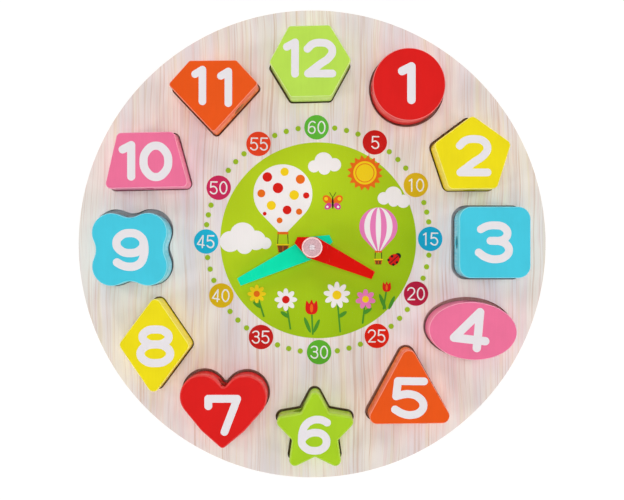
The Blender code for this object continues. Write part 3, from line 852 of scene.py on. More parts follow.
def hand_plastic(name, colour):
    """Moulded glossy plastic with a faint satin grain and small scuffs, and a painted highlight on
    its rounded edges.
    """
    plastic = Finish(name, Specular_IOR_Level=0.02)
    satin = plastic.noise(plastic.position(), 2400, 2, 0.5)
    cloud = plastic.noise(plastic.position(), 160, 2)
    scuff = plastic.noise(plastic.position(stretch=(1, 0.12, 1), turn=35), 1700, 2, 0.6)
    scuffed = plastic.between(scuff, 0.66, 0.76)
    base = plastic.tone(seen(*colour), plastic.between(cloud, 0.3, 0.7, 0.975, 1.02))
    up = plastic.facing_up()
    # Painted highlight: the rounded edges a little paler
    edge = plastic.between(up, 0.15, 0.4) * plastic.between(up, 0.97, 0.85)
    base = plastic.mix(edge * 0.3, base, seen(*paler(colour, 0.6)))
    plastic.set(
        Base_Color=plastic.mix(scuffed * 0.05, base, seen(250, 240, 236)),
        Roughness=plastic.between(satin, 0.3, 0.7, 0.18, 0.26) + scuffed * 0.15,
    )
    plastic.bump(satin, 0.00002, 0.4)
    return plastic.material


def milky_plastic():
    """The cap and the pin: thin milky plastic, its pink painted in for the red hand's light coming
    through, with a painted glint in the middle and a painted highlight on the cap's rim."""
    milk = Finish("milky_plastic", Specular_IOR_Level=0.08)
    grain = milk.noise(milk.position(), 2200, 3, 0.7)
    height = milk.axis(milk.position(), 2)
    # Painted highlight: the top of the cap's rim paler
    cap_rim_highlight = milk.between(height, CAP_TOP - 0.00012, CAP_TOP - 0.00003)
    # Painted light: the pink stands for the red hand shining through the milky plastic
    base = milk.mix(milk.between(grain, 0.38, 0.62), seen(200, 158, 164), seen(222, 184, 190))
    from_hub = {"operation": "DISTANCE"}
    level = milk.position(stretch=(1, 1, 0))
    far = milk.add("ShaderNodeVectorMath", from_hub, {0: level, 1: (*HUB, 0)}, output=1)
    petals = milk.noise(milk.position(stretch=(1, 1, 0)), 1500, 2, 0.6)
    # Painted glint: a pale star-shaped spot in the middle, on the pin's split end
    centre_glint = milk.between(far + (petals - 0.5) * 0.0028, 0.002, 0.0006)
    base = milk.mix(centre_glint * 0.9, base, seen(255, 246, 250))
    base = milk.mix(cap_rim_highlight, base, seen(252, 206, 204))
    milk.set(Base_Color=base, Roughness=milk.between(grain, 0.3, 0.7, 0.2, 0.32))
    milk.bump(grain, 0.00004, 0.35)
    return milk.material


def nylon():
    """The washer under the hands: natural nylon, slightly cloudy."""
    made = Finish("natural_nylon", Specular_IOR_Level=0.4)
    cloud = made.noise(made.position(), 900, 3, 0.6)
    base = made.mix(made.between(cloud, 0.35, 0.65), seen(226, 206, 204), seen(244, 232, 228))
    made.set(Base_Color=base, Roughness=made.between(cloud, 0.3, 0.7, 0.3, 0.42))
    made.bump(cloud, 0.00004, 0.4)
    return made.material


# Making pieces


def new_piece(name, mesh, materials, body):
    """An object at the origin for a mesh that is already in place, riding on a body."""
    mesh.name = name
    for material in materials:
        mesh.materials.append(material)
    piece = bpy.data.objects.new(name, mesh)
    bpy.context.scene.collection.objects.link(piece)
    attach(piece, body)
    return piece


def stand_in(name, mesh, materials, body, node):
    """A piece that takes the place of a node of the model, soft on curves and flat on flats."""
    piece = new_piece(name, mesh, materials, body)
    piece.data.shade_smooth()
    piece.data.set_sharp_from_angle(angle=math.radians(40))
    piece.modifiers.new("Flat faces stay flat", "WEIGHTED_NORMAL").keep_sharp = True
    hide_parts(node)


@contextmanager
def edited(mesh):
    """A bmesh of the mesh, which is written back to it at the end."""
    work = bmesh.new()
    work.from_mesh(mesh)
    yield work
    work.to_mesh(mesh)
    work.free()


def flat_mesh(outlines, bottom, top):
    """A mesh of flat closed outlines, filled and given a height. Inner outlines are holes."""
    curve = bpy.data.curves.new("outline", "CURVE")
    curve.dimensions = "2D"
    curve.fill_mode = "BOTH"
    curve.extrude = (top - bottom) / 2
    for points in outlines:
        spline = curve.splines.new("POLY")
        spline.points.add(len(points) - 1)
        for corner, point in zip(spline.points, points):
            corner.co = (point.x, point.y, 0, 1)
        spline.use_cyclic_u = True
    mesh = mesh_of_curve(curve)
    with edited(mesh) as work:
        bmesh.ops.remove_doubles(work, verts=work.verts, dist=SAME_POINT)
        if len(outlines) == 1:
            flat = math.radians(0.5)
            bmesh.ops.dissolve_limit(work, angle_limit=flat, verts=work.verts, edges=work.edges)
        bmesh.ops.translate(work, vec=(0, 0, (top + bottom) / 2), verts=work.verts)
        bmesh.ops.recalc_face_normals(work, faces=work.faces)
    return mesh


def mesh_of_curve(curve):
    guide = bpy.data.objects.new("guide", curve)
    bpy.context.scene.collection.objects.link(guide)
    graph = bpy.context.evaluated_depsgraph_get()
    mesh = bpy.data.meshes.new_from_object(guide.evaluated_get(graph))
    bpy.data.objects.remove(guide, do_unlink=True)
    bpy.data.curves.remove(curve)
    return mesh


def round_edges(mesh, width, segments, wanted):
    """Rounds the edges for which wanted(edge) holds."""
    with edited(mesh) as work:
        work.normal_update()
        edges = [edge for edge in work.edges if len(edge.link_faces) == 2 and wanted(edge)]
        bmesh.ops.bevel(
            work,
            geom=edges,
            affect="EDGES",
            offset=width,
            offset_type="OFFSET",
            segments=segments,
            profile=0.5,
            material=-1,
            clamp_overlap=True,
        )


def sharp(edge):
    return edge.calc_face_angle() > math.radians(50)


def level_rim(edge):
    """A sharp edge that lies level, round the top or the bottom of a piece."""
    first, second = edge.verts
    return sharp(edge) and abs(first.co.z - second.co.z) < SAME_POINT


def paint_faces(mesh, slot, wanted):
    """Gives a material, by its place in the mesh's list, to the faces for which wanted holds."""
    for polygon in mesh.polygons:
        if wanted(polygon):
            polygon.material_index = slot


def upright(polygon):
    return abs(polygon.normal.z) < 0.5


def spun(profile, steps=ROUND):
    """A mesh turned about the hub's axis. The profile of (radius, height) closes on itself."""
    mesh = bpy.data.meshes.new("spun")
    with edited(mesh) as work:
        corners = [work.verts.new((radius + HUB.x, HUB.y, height)) for radius, height in profile]
        edges = [work.edges.new(pair) for pair in zip(corners, corners[1:] + corners[:1])]
        bmesh.ops.spin(
            work,
            geom=corners + edges,
            cent=(*HUB, 0),
            axis=(0, 0, 1),
            angle=math.tau,
            steps=steps,
            use_merge=True,
            use_duplicate=False,
        )
        bmesh.ops.remove_doubles(work, verts=work.verts, dist=2 * SAME_POINT)
        bmesh.ops.recalc_face_normals(work, faces=work.faces)
    return mesh


def rim(radius, height, rounding, upper, steps=5):
    """The rounded corner of a turned profile that runs downwards on its outside."""
    start, down = (90, -1) if upper else (0, 1)
    points = []
    for k in range(steps + 1):
        corner = polar(rounding, start - 90 * k / steps)
        points.append((radius - rounding + corner.x, height + down * rounding + corner.y))
    return points


# The board


def recess_outline(block, beyond=0.0):
    room = RECESS_CLEARANCE * block.room_share
    centre = block_centre(block) - room * Vector(block.slide)
    return turned(block.outline(room + beyond), block.recess_turn, centre)


def block_centre(block):
    return polar(RING_RADIUS * block.ring_share, 90 - block.clock_angle)


def on_the_rim(edge):
    """True for an edge at the board's outer edge."""
    return all(corner.co.xy.length > BOARD_RADIUS - 2 * EDGE_ROUNDING for corner in edge.verts)


def round_one_side(mesh, is_outside):
    """Rounds the board's rim, and less so the mouths in it, where is_outside(height) holds."""

    def outside(edge):
        return sharp(edge) and all(is_outside(corner.co.z) for corner in edge.verts)

    round_edges(mesh, EDGE_ROUNDING, 5, lambda edge: outside(edge) and on_the_rim(edge))
    round_edges(mesh, MOUTH_ROUNDING, 2, lambda edge: outside(edge) and not on_the_rim(edge))


def make_face_layer():
    recesses = [recess_outline(block) for block in BLOCKS]
    outlines = [board_circle(), hub_circle(PIN_HOLE, HOLE_SIDES), *recesses]
    mesh = flat_mesh(outlines, FACE_BOTTOM, FACE_TOP)
    round_one_side(mesh, lambda height: height > FACE_TOP - 10 * SAME_POINT)

    def edge_wall(polygon):
        return upright(polygon) and polygon.center.xy.length >= RECESS_REACH

    def mouth(polygon):
        return 0.05 < polygon.normal.z < 0.97 and polygon.center.xy.length < RECESS_REACH

    materials = [pine_face(), plywood_edge(FACE_BOTTOM, FACE_TOP), burnt_mouth()]
    paint_faces(mesh, 1, edge_wall)
    paint_faces(mesh, 2, mouth)
    # Each recess's walls take its block's colour: painted reflection and painted shade
    for slot, recess in RECESSES.items():
        own = [block_centre(block) for block in BLOCKS if PAINTS[block.paint].slot == slot]

        def in_recess(polygon):
            near = any((polygon.center.xy - centre).length < 0.5 * BLOCK_STEP for centre in own)
            return near and upright(polygon)

        paint_faces(mesh, len(materials), in_recess)
        materials.append(shaded_scorched_wall(slot, recess.walls))
    stand_in("face_layer", mesh, materials, "board", "face_board")


def make_back_layer():
    """The back, as two flat halves that meet at the bottom of the pin's counterbore."""
    mesh = flat_mesh([board_circle(), hub_circle(COUNTERBORE)], 0, COUNTERBORE_DEPTH)
    upper = flat_mesh([board_circle(), hub_circle(PIN_HOLE)], COUNTERBORE_DEPTH, BACK_TOP)
    with edited(mesh) as work:
        work.from_mesh(upper)
        seam = [face for face in work.faces if is_inner_seam(face)]
        bmesh.ops.delete(work, geom=seam, context="FACES")
        bmesh.ops.remove_doubles(work, verts=work.verts, dist=SAME_POINT)
        open_edges = [edge for edge in work.edges if len(edge.link_faces) == 1]
        bmesh.ops.bridge_loops(work, edges=open_edges)
        bmesh.ops.recalc_face_normals(work, faces=work.faces)
    round_one_side(mesh, lambda height: height < 10 * SAME_POINT)
    paint_faces(mesh, 1, upright)
    materials = [plain_birch(), plywood_edge(0, BACK_TOP)]
    stand_in("back_layer", mesh, materials, "board", "back_board")


def is_inner_seam(face):
    """A face of either half of the back layer where the two halves meet."""
    return abs(face.calc_center_median().z - COUNTERBORE_DEPTH) < 10 * SAME_POINT


def make_recess_floors():
    for block in BLOCKS:
        name = "recess_floor_" + block.node[6:8]
        floor = recess_floor(name, RECESSES[PAINTS[block.paint].slot].floor)
        outline = recess_outline(block, RECESS_OVERLAP)
        mesh = flat_mesh([outline], BACK_TOP - INK, BACK_TOP + INK)
        note_margins(mesh, outline)
        new_piece(name, mesh, [floor], "board")


def note_margins(mesh, outline):
    """Cuts a floor into a grid and notes at each corner how far the wall is."""
    with edited(mesh) as work:
        bmesh.ops.triangulate(work, faces=work.faces)
        for axis in (Vector((1, 0, 0)), Vector((0, 1, 0))):
            reach = [point.dot(axis.xy) for point in outline]
            for k in range(1, math.ceil((max(reach) - min(reach)) / RECESS_GRID)):
                everything = [*work.verts, *work.edges, *work.faces]
                place = axis * (min(reach) + k * RECESS_GRID)
                bmesh.ops.bisect_plane(work, geom=everything, plane_co=place, plane_no=axis)
    count = len(outline)
    heights = (BACK_TOP - 0.001, BACK_TOP + 0.001)
    corners = [Vector((*point, height)) for height in heights for point in outline]
    sides = [(k, (k + 1) % count, count + (k + 1) % count, count + k) for k in range(count)]
    walls = BVHTree.FromPolygons(corners, sides)
    margin = mesh.attributes.new("margin", "FLOAT", "POINT")
    for corner, note in zip(mesh.vertices, margin.data):
        note.value = walls.find_nearest(corner.co)[3]


# The blocks


def pressed_mesh(strokes, pen, bottom, top):
    """Strokes of a round pen, pressed nearly flat. Each stroke covers the ones before it."""
    flatness = (top - bottom) / pen
    curve = bpy.data.curves.new("strokes", "CURVE")
    curve.dimensions = "3D"
    curve.bevel_depth = pen / 2
    curve.bevel_resolution = 4
    curve.use_fill_caps = True
    ends = []
    for index, stroke in enumerate(strokes):
        lift = index * OVERPRINT / flatness
        closed = stroke[-1] == "round"
        points = stroke[:-1] if closed else stroke
        spline = curve.splines.new("BEZIER")
        spline.bezier_points.add(len(points) - 1)
        spline.resolution_u = 8
        spline.use_cyclic_u = closed
        for knot, point in zip(spline.bezier_points, points):
            knot.co = (point.x, point.y, lift)
            knot.handle_left_type = "AUTO"
            knot.handle_right_type = "AUTO"
        if not closed:
            ends += [(point.x, point.y, lift) for point in (points[0], points[-1])]
    mesh = mesh_of_curve(curve)
    lower = Matrix.Diagonal((1, 1, 0.8, 1))
    ball = {"u_segments": 28, "v_segments": 12, "radius": pen / 2}
    with edited(mesh) as work:
        for end in ends:
            bmesh.ops.create_uvsphere(work, matrix=Matrix.Translation(end) @ lower, **ball)
        bmesh.ops.transform(work, matrix=Matrix.Diagonal((1, 1, flatness, 1)), verts=work.verts)
        bmesh.ops.translate(work, vec=(0, 0, (top + bottom) / 2), verts=work.verts)
        bmesh.ops.recalc_face_normals(work, faces=work.faces)
    mesh.shade_flat()
    return mesh


def digit_strokes(digit, left, top, right, bottom, pen, height):
    """The strokes of a digit whose inked outline fills a pixel box of the picture."""
    half = pen / 2
    strokes = []
    for run in DIGITS[digit]:
        stroke = []
        for knot in run:
            if knot == "round":
                stroke.append(knot)
                continue
            across = left + half + (right - left - pen) * knot[0]
            down = bottom - half - (bottom - top - pen) * knot[1]
            stroke.append(seen_at(across, down, height))
        strokes.append(stroke)
    return strokes


def bore_line(point, centre, angle):
    """How far a point lies from a bore's axis."""
    along = polar(1, angle)
    off = point.xy - centre
    side = off.x * along.y - off.y * along.x
    return math.hypot(side, point.z - (BLOCK_BOTTOM + BLOCK_TOP) / 2)


def cut_away(mesh, cutters):
    """The mesh with each cutter's mesh taken away from it."""
    blank = bpy.data.objects.new("blank", mesh)
    bpy.context.scene.collection.objects.link(blank)
    tools = []
    for cutter in cutters:
        tool = bpy.data.objects.new("cutter", cutter)
        bpy.context.scene.collection.objects.link(tool)
        tools.append(tool)
        boolean = blank.modifiers.new("Cut", "BOOLEAN")
        boolean.operation = "DIFFERENCE"
        boolean.object = tool
    graph = bpy.context.evaluated_depsgraph_get()
    made = bpy.data.meshes.new_from_object(blank.evaluated_get(graph))
    for obj in (blank, *tools):
        bpy.data.objects.remove(obj, do_unlink=True)
    return made


def drill(centre, angle):
    """A lying round bar through the middle of a block's thickness."""
    lying = Matrix.Translation((*centre, (BLOCK_BOTTOM + BLOCK_TOP) / 2))
    lying @= Matrix.Rotation(math.radians(angle), 4, "Z") @ Matrix.Rotation(math.pi / 2, 4, "Y")
    mesh = bpy.data.meshes.new("drill")
    with edited(mesh) as work:
        bmesh.ops.create_cone(
            work,
            cap_ends=True,
            segments=HOLE_SIDES,
            radius1=LACING_BORE / 2,
            radius2=LACING_BORE / 2,
            depth=2 * BLOCK_STEP,
            matrix=lying,
        )
    return mesh


def bored_block(block, rounding):
    """A block's mesh. The faces of its lacing bore have the second material."""
    centre = block_centre(block)
    mesh = flat_mesh([turned(block.outline(0), block.turn, centre)], BLOCK_BOTTOM, BLOCK_TOP)
    round_edges(mesh, rounding, 6, level_rim)
    mesh = cut_away(mesh, [drill(centre, block.bore)])
    mouth = LACING_BORE / 2 + 0.0001
    inside = LACING_BORE / 2 + 0.00003

    def at_mouth(edge):
        near = all(bore_line(corner.co, centre, block.bore) < mouth for corner in edge.verts)
        return near and sharp(edge)

    def in_bore(polygon):
        corners = [mesh.vertices[index].co for index in polygon.vertices]
        return all(bore_line(corner, centre, block.bore) < inside for corner in corners)

    round_edges(mesh, BORE_MOUTH, 3, at_mouth)
    paint_faces(mesh, 1, in_bore)
    return mesh


def block_finishes(coat, paint, rim_lightening):
    """The paint of a block and the bare wood of its bore. Orange's bore takes its paler wall
    colour, as painted light.
    """
    recess = RECESSES[paint.slot]
    # Painted light: orange's shaded bore gets the paler wall colour
    bore_colour = paint.thin_colour if paint.slot == "orange" else paint.colour
    return [
        block_paint(coat + "_paint", paint, recess, rim_lightening),
        bare_bore(coat + "_bore", bore_colour),
    ]


def make_blocks():
    finishes = {}
    white = printed_ink("numeral_white", NUMERAL_WHITE, speckle=0.012)
    for block in BLOCKS:
        paint = PAINTS[block.paint]
        soft = block.node in SOFT_BLOCKS
        coat = "soft_" + block.paint if soft else block.paint
        if coat not in finishes:
            finishes[coat] = block_finishes(coat, paint, SOFT_EDGE_HIGHLIGHT if soft else EDGE_HIGHLIGHT)
        mesh = bored_block(block, SOFT_ROUNDING if soft else BLOCK_ROUNDING)
        stand_in(block.node + "_painted", mesh, finishes[coat], block.node, block.node)
        make_numeral(block, white)


def make_numeral(block, ink):
    strokes = []
    for digit in block.numerals:
        strokes += digit_strokes(*digit, BLOCK_TOP)
    pen = block.numerals[0][5] * pixel_span(BLOCK_TOP)
    mesh = pressed_mesh(strokes, pen, BLOCK_TOP - INK, BLOCK_TOP + INK)
    new_piece("numeral_" + block.node[6:8], mesh, [ink], block.node)


# The printed dial


def film(name, shapes, thickness=INK):
    """One printed motif. Each shape is (material, outlines) and covers the shapes before it."""
    materials = []
    mesh = bpy.data.meshes.new(name)
    with edited(mesh) as work:
        for index, (material, outlines) in enumerate(shapes):
            if material not in materials:
                materials.append(material)
            top = FACE_TOP + thickness + index * OVERPRINT
            shape = flat_mesh(outlines, FACE_TOP - INK, top)
            paint_faces(shape, materials.index(material), lambda polygon: True)
            work.from_mesh(shape)
    new_piece(name, mesh, materials, "board")


def pixel_disc(x, y, width, steps=48):
    size = width * METRES_PER_PIXEL
    return ellipse(size, size, seen_at(x, y, FACE_TOP), steps=steps)


def make_minute_marks():
    white = printed_ink("minute_white", MINUTE_WHITE, speckle=0.01)
    for number, x, y, aside, colour in MINUTE_MARKS:
        ink = printed_ink("minute_ink_" + number, colour)
        name = "minute_mark_" + number.zfill(2)
        film(name, [(ink, [pixel_disc(x, y, MARK_DISC_PX, 72)])])
        strokes = []
        for digit, start in zip(number, DIGIT_LEFTS_PX[len(number)]):
            before, after = ONE_INSETS_PX if digit == "1" else (0, 0)
            left = x + aside + start
            right = left + DIGIT_WIDTH_PX - after
            box = (left + before, y - DIGIT_RISE_PX, right, y + DIGIT_FALL_PX)
            strokes += digit_strokes(digit, *box, MINUTE_PEN_PX, FACE_TOP)
        pen = MINUTE_PEN_PX * METRES_PER_PIXEL
        mesh = pressed_mesh(strokes, pen, FACE_TOP - INK, FACE_TOP + 2 * INK)
        new_piece(name + "_number", mesh, [white], "board")


def make_dots():
    green = printed_ink("dot_green", DOT_GREEN)
    outlines = []
    for clock_angle, step, ring in DOTS:
        for side in (-1, 0, 1):
            place = polar(ring, 90 - clock_angle - side * step)
            x = DIAL_MIDDLE_PX[0] + place.x
            y = DIAL_MIDDLE_PX[1] - place.y
            outlines.append(pixel_disc(x, y, DOT_PX, 28))
    film("minute_dots", [(green, [outline]) for outline in outlines])


# The hands and the hub


def rounded(corners, radius):
    """The outline of a polygon, run anticlockwise, with its corners rounded."""
    points = [Vector(corner) for corner in corners]
    pulleys = []
    for i, corner in enumerate(points):
        before = (corner - points[i - 1]).normalized()
        after = (points[(i + 1) % len(points)] - corner).normalized()
        inward = Vector((-before.y, before.x)) + Vector((-after.y, after.x))
        pulleys.append((*(corner + inward * radius / (1 + before.dot(after))), radius))
    return belt(pulleys)


def make_hands():
    for node, reach, tail, tail_width, bottom, angle, slot, colour in HANDS:
        corners = [
            (reach, HAND_TIP_WIDTH / 2),
            (0, HAND_WIDTH / 2),
            (-tail, tail_width / 2),
            (-tail, -tail_width / 2),
            (0, -HAND_WIDTH / 2),
            (reach, -HAND_TIP_WIDTH / 2),
        ]
        outline = turned(rounded(corners, HAND_CORNER), angle, HUB)
        outlines = [outline, hub_circle(PIN_HOLE, HOLE_SIDES)]
        mesh = flat_mesh(outlines, bottom, bottom + HAND_THICKNESS)
        round_edges(mesh, HAND_EDGE, 3, level_rim)
        plastic = hand_plastic(slot + "_plastic", colour)
        stand_in(node + "_moulded", mesh, [plastic], node, node)


def make_hub():
    milk = milky_plastic()
    outer = SPACER_DIAMETER / 2
    washer = [*rim(outer, SPACER_TOP, FINE_ROUNDING, True)]
    washer += [*rim(outer, SPACER_BOTTOM, FINE_ROUNDING, False)]
    washer += [(PIN_HOLE / 2, SPACER_BOTTOM), (PIN_HOLE / 2, SPACER_TOP)]
    stand_in("hand_spacer_turned", spun(washer), [nylon()], "board", "hand_spacer")
    end = PIN_END / 2
    head = PIN_HEAD_DIAMETER / 2
    dish = PIN_FOOT + PIN_DISH
    pin = [(0, PIN_END_TOP), *rim(end, PIN_END_TOP, PIN_END_ROUNDING, True)]
    pin += [(end, PIN_SHOULDER), (PIN_SHANK / 2, PIN_SHOULDER), (PIN_SHANK / 2, PIN_HEAD_TOP)]
    pin += [*rim(head, PIN_HEAD_TOP, FINE_ROUNDING, True)]
    pin += [*rim(head, PIN_FOOT, PIN_HEAD_ROUNDING, False)]
    pin += [(head * 0.62, PIN_FOOT), (head * 0.55, dish), (0, dish)]
    split_pin = cut_away(spun(pin), [slot_cutter(0), slot_cutter(90)])
    stand_in("pivot_pin_turned", split_pin, [milk], "board", "pivot_pin")
    outer = CAP_DIAMETER / 2
    inner = PIN_END / 2 + CAP_GAP
    dish = CAP_TOP - CAP_DISH
    cap = [(inner, dish - CAP_CHAMFER), (inner + CAP_CHAMFER, dish)]
    cap += [(outer - CAP_RIM - CAP_DISH, dish), (outer - CAP_RIM, CAP_TOP)]
    cap += [*rim(outer, CAP_TOP, CAP_ROUNDING, True)]
    cap += [*rim(outer, CAP_BOTTOM, FINE_ROUNDING, False), (inner, CAP_BOTTOM)]
    stand_in("hub_cap_turned", spun(cap, steps=96), [milk], "board", "hub_cap")


def slot_cutter(turn):
    """A thin upright box across the pin's end."""
    place = Matrix.Translation((*HUB, PIN_END_TOP)) @ Matrix.Rotation(math.radians(turn), 4, "Z")
    size = Matrix.Diagonal((PIN_END * 1.5, PIN_SLOT, 2 * PIN_SLOT_DEPTH, 1))
    mesh = bpy.data.meshes.new("slot")
    with edited(mesh) as work:
        bmesh.ops.create_cube(work, size=1, matrix=place @ size)
    return mesh


# The picture on the dial: balloons, clouds, a sun and a meadow, in millimetres from the
# middle of the green field


def spot(x, y, radius, steps=48):
    return ellipse(2 * radius, 2 * radius, (x, y), steps)


def oval(x, y, length, width, turn=0.0):
    return ellipse(length, width, (x, y), 40, turn)


def smooth(knots, steps=8):
    """A closed outline that runs smoothly through the knots."""
    points = [Vector(knot) for knot in knots]
    count = len(points)
    outline = []
    for i in range(count):
        before, start, end, after = (points[(i + k) % count] for k in (-1, 0, 1, 2))
        for k in range(steps):
            t = k / steps
            curve = 2 * start + (end - before) * t
            curve += (2 * before - 5 * start + 4 * end - after) * t**2
            curve += (3 * start - before - 3 * end + after) * t**3
            outline.append(curve / 2)
    return outline


def strip(x1, y1, x2, y2, width):
    """A straight line of ink with round ends."""
    return belt([(x1, y1, width / 2), (x2, y2, width / 2)])


def squeezed(outline, middle, share):
    """An outline made narrower about an upright line."""
    return [Vector((middle + (point.x - middle) * share, point.y)) for point in outline]


def balloon(x, y, radius, drop, ink, gores):
    """A balloon's envelope with its upright gores, its skirt, ropes and basket."""
    envelope = belt([(x, y, radius), (x, y - drop, radius * 0.17)])
    shapes = []
    bottom = y - drop - radius * 0.17
    basket = bottom - radius * 0.36
    half = radius * 0.2
    for side in (-1, 1):
        top = x + side * half * 0.8
        shapes.append(("black", strip(top, bottom + 0.4, x + side * half * 0.9, basket, 0.35)))
    shapes.append((ink, envelope))
    for share, gore in gores:
        shapes.append((gore, squeezed(envelope, x, share)))
    skirt = bottom + 0.5
    shapes.append(("orange", strip(x - half * 0.75, skirt, x + half * 0.75, skirt, radius * 0.09)))
    base = basket - radius * 0.26
    corners = [(x - half * 0.8, base), (x + half * 0.8, base), (x + half, basket), (x - half, basket)]
    shapes.append(("brown", rounded(corners, 0.4)))
    shapes.append(("yellow", strip(x - half, basket, x + half, basket, 0.7)))
    for share in (-0.45, 0.0, 0.45):
        foot = x + share * half * 2 * 0.8
        shapes.append(("orange", strip(foot, base + 0.5, x + share * half * 2, basket - 0.8, 0.3)))
    return shapes


def flower(x, y, radius, petals, petal_ink, eye_ink, foot, leaf_side):
    """A daisy on its stem, with one leaf."""
    stem = Vector(foot) - Vector((x, y))
    middle = Vector((x, y)) + stem * 0.6
    shapes = [("leaf", strip(x, y, *foot, 0.8))]
    lean = 35 if leaf_side > 0 else 145
    leaf = middle + polar(2.1, lean)
    shapes.append(("leaf", oval(leaf.x, leaf.y, 5.0, 1.9, lean)))
    for i in range(petals):
        lean = 90 + 360 / petals * i
        petal = Vector((x, y)) + polar(radius * 0.62, lean)
        width = radius * min(0.6, 3.6 / petals)
        shapes.append((petal_ink, oval(petal.x, petal.y, radius * 0.78, width, lean)))
    shapes.append((eye_ink, spot(x, y, radius * 0.34, 32)))
    return shapes


def tulip(x, y, size, foot):
    cup = [(-0.5, -0.1), (-0.52, 0.35), (-0.42, 0.78), (-0.2, 0.52), (0, 0.85), (0.2, 0.52)]
    cup += [(0.42, 0.78), (0.52, 0.35), (0.5, -0.1), (0.25, -0.38), (-0.25, -0.38)]
    shapes = [("leaf", strip(x, y, *foot, 0.8))]
    shapes.append(("leaf", oval(x - 2.0, (y + foot[1]) / 2 - 1.5, 8.0, 1.8, 112)))
    shapes.append(("leaf", oval(x + 2.4, (y + foot[1]) / 2 - 2.0, 7.0, 1.7, 66)))
    shapes.append(("red", smooth([(x + a * size, y + b * size) for a, b in cup])))
    shapes.append(("orange", oval(x, y + size * 0.12, size * 0.72, size * 0.26, 90)))
    return shapes


def picture():
    """Each motif's name with its shapes: (ink, outline), and later shapes cover earlier ones."""
    clouds = [
        (-42.4, -0.6, 5.0), (-36.4, 2.4, 6.2), (-30.0, 0.0, 4.7), (-25.4, -1.4, 2.8),
        (-35.5, -2.6, 4.0), (-2.0, 35.6, 2.9), (2.6, 38.0, 4.4), (7.8, 36.4, 3.2), (3.0, 34.6, 3.0),
        (31.6, 20.2, 3.0), (36.2, 21.8, 4.1), (41.0, 18.8, 3.2), (36.4, 18.9, 2.7),
    ]
    middle = Vector((22.5, 32.5))
    rays = smooth([polar(8.6 if i % 2 else 6.9, 11.25 * i) + middle for i in range(32)], 4)
    sun = [("orange", rays)]
    for ink, radius in (("yellow", 5.6), ("orange", 4.6), ("yellow", 4.2)):
        sun.append((ink, spot(*middle, radius)))
    dots = [
        (-24.5, 30.5, 2.3, "red"), (-16.2, 33.0, 2.0, "yellow"), (-8.6, 29.4, 2.2, "orange"),
        (-27.4, 22.6, 1.9, "orange"), (-19.4, 25.2, 2.5, "red"), (-11.6, 21.8, 2.3, "yellow"),
        (-22.6, 16.8, 2.2, "yellow"), (-5.8, 21.6, 1.5, "red"), (-15.0, 14.6, 2.1, "red"),
        (-9.2, 13.8, 1.5, "orange"), (-18.6, 9.6, 1.4, "orange"), (-25.8, 12.8, 0.9, "red"),
    ]
    large = balloon(-17.0, 22.4, 14.2, 17.0, "white", [])
    large += [(ink, spot(x, y, radius)) for x, y, radius, ink in dots]
    small = balloon(29.0, 6.6, 9.2, 11.0, "pink", [(0.74, "white"), (0.44, "pink"), (0.14, "white")])
    daisies = flower(9.0, -26.4, 6.4, 9, "white", "yellow", (10.6, -44.0), 1)
    daisies += flower(-15.6, -28.6, 5.4, 8, "white", "red", (-13.4, -42.6), -1)
    daisies += flower(22.8, -28.4, 4.8, 7, "pink", "yellow", (21.4, -39.8), 1)
    daisies += flower(-29.6, -25.8, 4.4, 8, "yellow", "orange", (-26.2, -36.6), -1)
    tulips = tulip(-3.2, -33.4, 5.6, (-2.6, -45.2))
    tulips += tulip(33.0, -23.2, 3.9, (31.4, -33.0))
    butterfly = []
    for side in (-1, 1):
        butterfly.append(("orange", oval(7.0 + side * 2.6, 19.6, 5.0, 3.6, 90 - side * 50)))
        butterfly.append(("rose", oval(7.0 + side * 2.2, 16.4, 3.8, 2.8, 90 + side * 50)))
        butterfly.append(("yellow", spot(7.0 + side * 3.2, 20.0, 0.9, 24)))
        butterfly.append(("white", spot(7.0 + side * 2.6, 16.1, 0.6, 24)))
        butterfly.append(("black", strip(7.0, 20.6, 7.0 + side * 1.5, 23.0, 0.25)))
    butterfly.append(("black", oval(7.0, 18.0, 5.6, 0.9, 90)))
    ladybird = [("black", spot(38.4, -7.6, 1.5, 32)), ("red", oval(36.4, -9.4, 6.0, 5.2, 42))]
    ladybird.append(("black", strip(38.4, -7.6, 34.4, -11.2, 0.4)))
    for x, y in ((35.6, -7.7), (37.9, -10.6), (33.9, -9.5), (36.2, -11.7)):
        ladybird.append(("black", spot(x, y, 0.62, 24)))
    return {
        "clouds": [("white", spot(*cloud)) for cloud in clouds],
        "sun": sun,
        "large_balloon": large,
        "small_balloon": small,
        "butterfly": butterfly,
        "ladybird": ladybird,
        "daisies": daisies,
        "tulips": tulips,
    }


def make_dial_picture():
    inks = {name: printed_ink("ink_" + name, colour, 0.015) for name, colour in INKS.items()}
    middle = seen_at(*FIELD_MIDDLE_PX, FACE_TOP)
    field = ellipse(2 * FIELD_RADIUS, 2 * FIELD_RADIUS, middle, steps=BOARD_SIDES // 2)
    green = printed_ink("field_green", FIELD_GREEN, 0.015, HEAVIER_GREEN)
    outlines = [field, hub_circle(PIN_HOLE, HOLE_SIDES)]
    film("dial_field", [(green, outlines)], thickness=INK / 3)
    for name, shapes in picture().items():
        placed = []
        for ink, outline in shapes:
            placed.append((inks[ink], [[middle + point * 0.001 for point in outline]]))
        film("dial_" + name, placed)


make_face_layer()
make_back_layer()
make_recess_floors()
make_blocks()
make_hands()
make_hub()
make_dial_picture()
make_minute_marks()
make_dots()


# Stage


def make_camera():
    camera = bpy.data.objects.new("camera", bpy.data.cameras.new("camera"))
    camera.data.lens = CAMERA_LENS
    camera.data.sensor_width = SENSOR_WIDTH
    camera.data.clip_start = 0.01
    camera.data.clip_end = 20
    camera.location = (*CAMERA_AIM, FACE_TOP + CAMERA_HEIGHT)
    bpy.context.scene.collection.objects.link(camera)
    bpy.context.scene.camera = camera


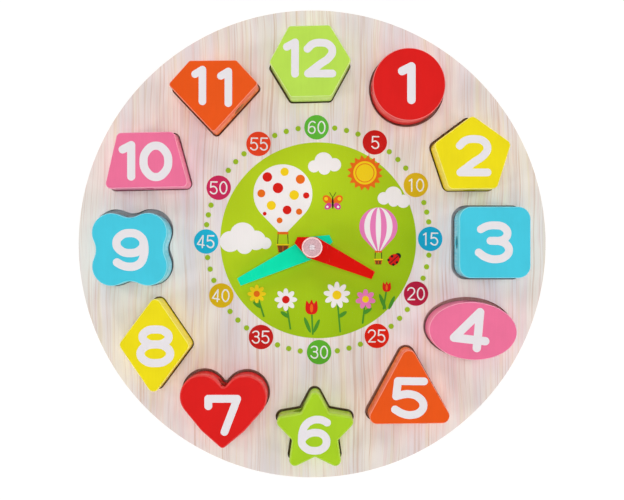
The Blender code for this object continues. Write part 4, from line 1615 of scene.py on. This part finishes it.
def make_lamp(name, place, size, power):
    """A round lamp that shines at the middle of the board's underside."""
    lamp = bpy.data.objects.new(name, bpy.data.lights.new(name, "AREA"))
    lamp.data.shape = "DISK"
    lamp.data.size = size
    lamp.data.energy = power
    lamp.location = place
    lamp.rotation_mode = "QUATERNION"
    lamp.rotation_quaternion = (-Vector(place)).to_track_quat("-Z", "Y")
    bpy.context.scene.collection.objects.link(lamp)


def make_lamps():
    make_lamp("overhead", (0, 0, LAMP_DISTANCE), *OVERHEAD_LAMP)
    for k in range(LOW_LAMPS):
        place = polar(LAMP_DISTANCE, 360 / LOW_LAMPS * k + LOW_LAMP_TURN)
        make_lamp("low_%d" % k, (*place, LOW_LAMP_HEIGHT), *LOW_LAMP)


def background_rays(nodes):
    """1 for a ray straight from the camera, over a mirror or through glass, else 0."""
    straight = nodes.add("ShaderNodeLightPath", output="Is Camera Ray")
    mirrored = nodes.add("ShaderNodeLightPath", output="Is Glossy Ray")
    through = nodes.add("ShaderNodeLightPath", output="Is Transmission Ray")
    return straight.either(mirrored).either(through)


def make_world():
    world = bpy.data.worlds.new("studio")
    bpy.context.scene.world = world
    world.use_nodes = True
    studio = Nodes(world.node_tree)
    plain = world.node_tree.nodes["Background"]
    plain.inputs["Color"].default_value = (1, 1, 1, 1)
    plain.inputs["Strength"].default_value = WORLD_LIGHT
    light = Signal(studio, plain.outputs[0])
    backdrop = studio.add("ShaderNodeBackground", None, {"Strength": 1})
    inputs = {0: background_rays(studio), 1: light, 2: backdrop}
    studio.surface("World Output", studio.add("ShaderNodeMixShader", None, inputs))


def make_floor():
    mesh = bpy.data.meshes.new("floor")
    with edited(mesh) as work:
        bmesh.ops.create_grid(work, x_segments=1, y_segments=1, size=FLOOR_REACH)
        bmesh.ops.translate(work, vec=(0, 0, FLOOR_LEVEL), verts=work.verts)
    floor = bpy.data.objects.new("floor", mesh)
    bpy.context.scene.collection.objects.link(floor)
    paper = Finish(
        "floor_paper",
        Base_Color=seen(158, 158, 158),
        Roughness=0.9,
        Specular_IOR_Level=0.1,
    )
    lit = Signal(paper, paper.shader.outputs[0])
    glow = paper.add("ShaderNodeEmission", None, {"Strength": background_rays(paper) * FLOOR_WHITE})
    paper.surface("Material Output", paper.add("ShaderNodeAddShader", None, {0: lit, 1: glow}))
    mesh.materials.append(paper.material)


make_camera()
make_world()
make_floor()
make_lamps()
bpy.context.scene.view_settings.view_transform = "Standard"
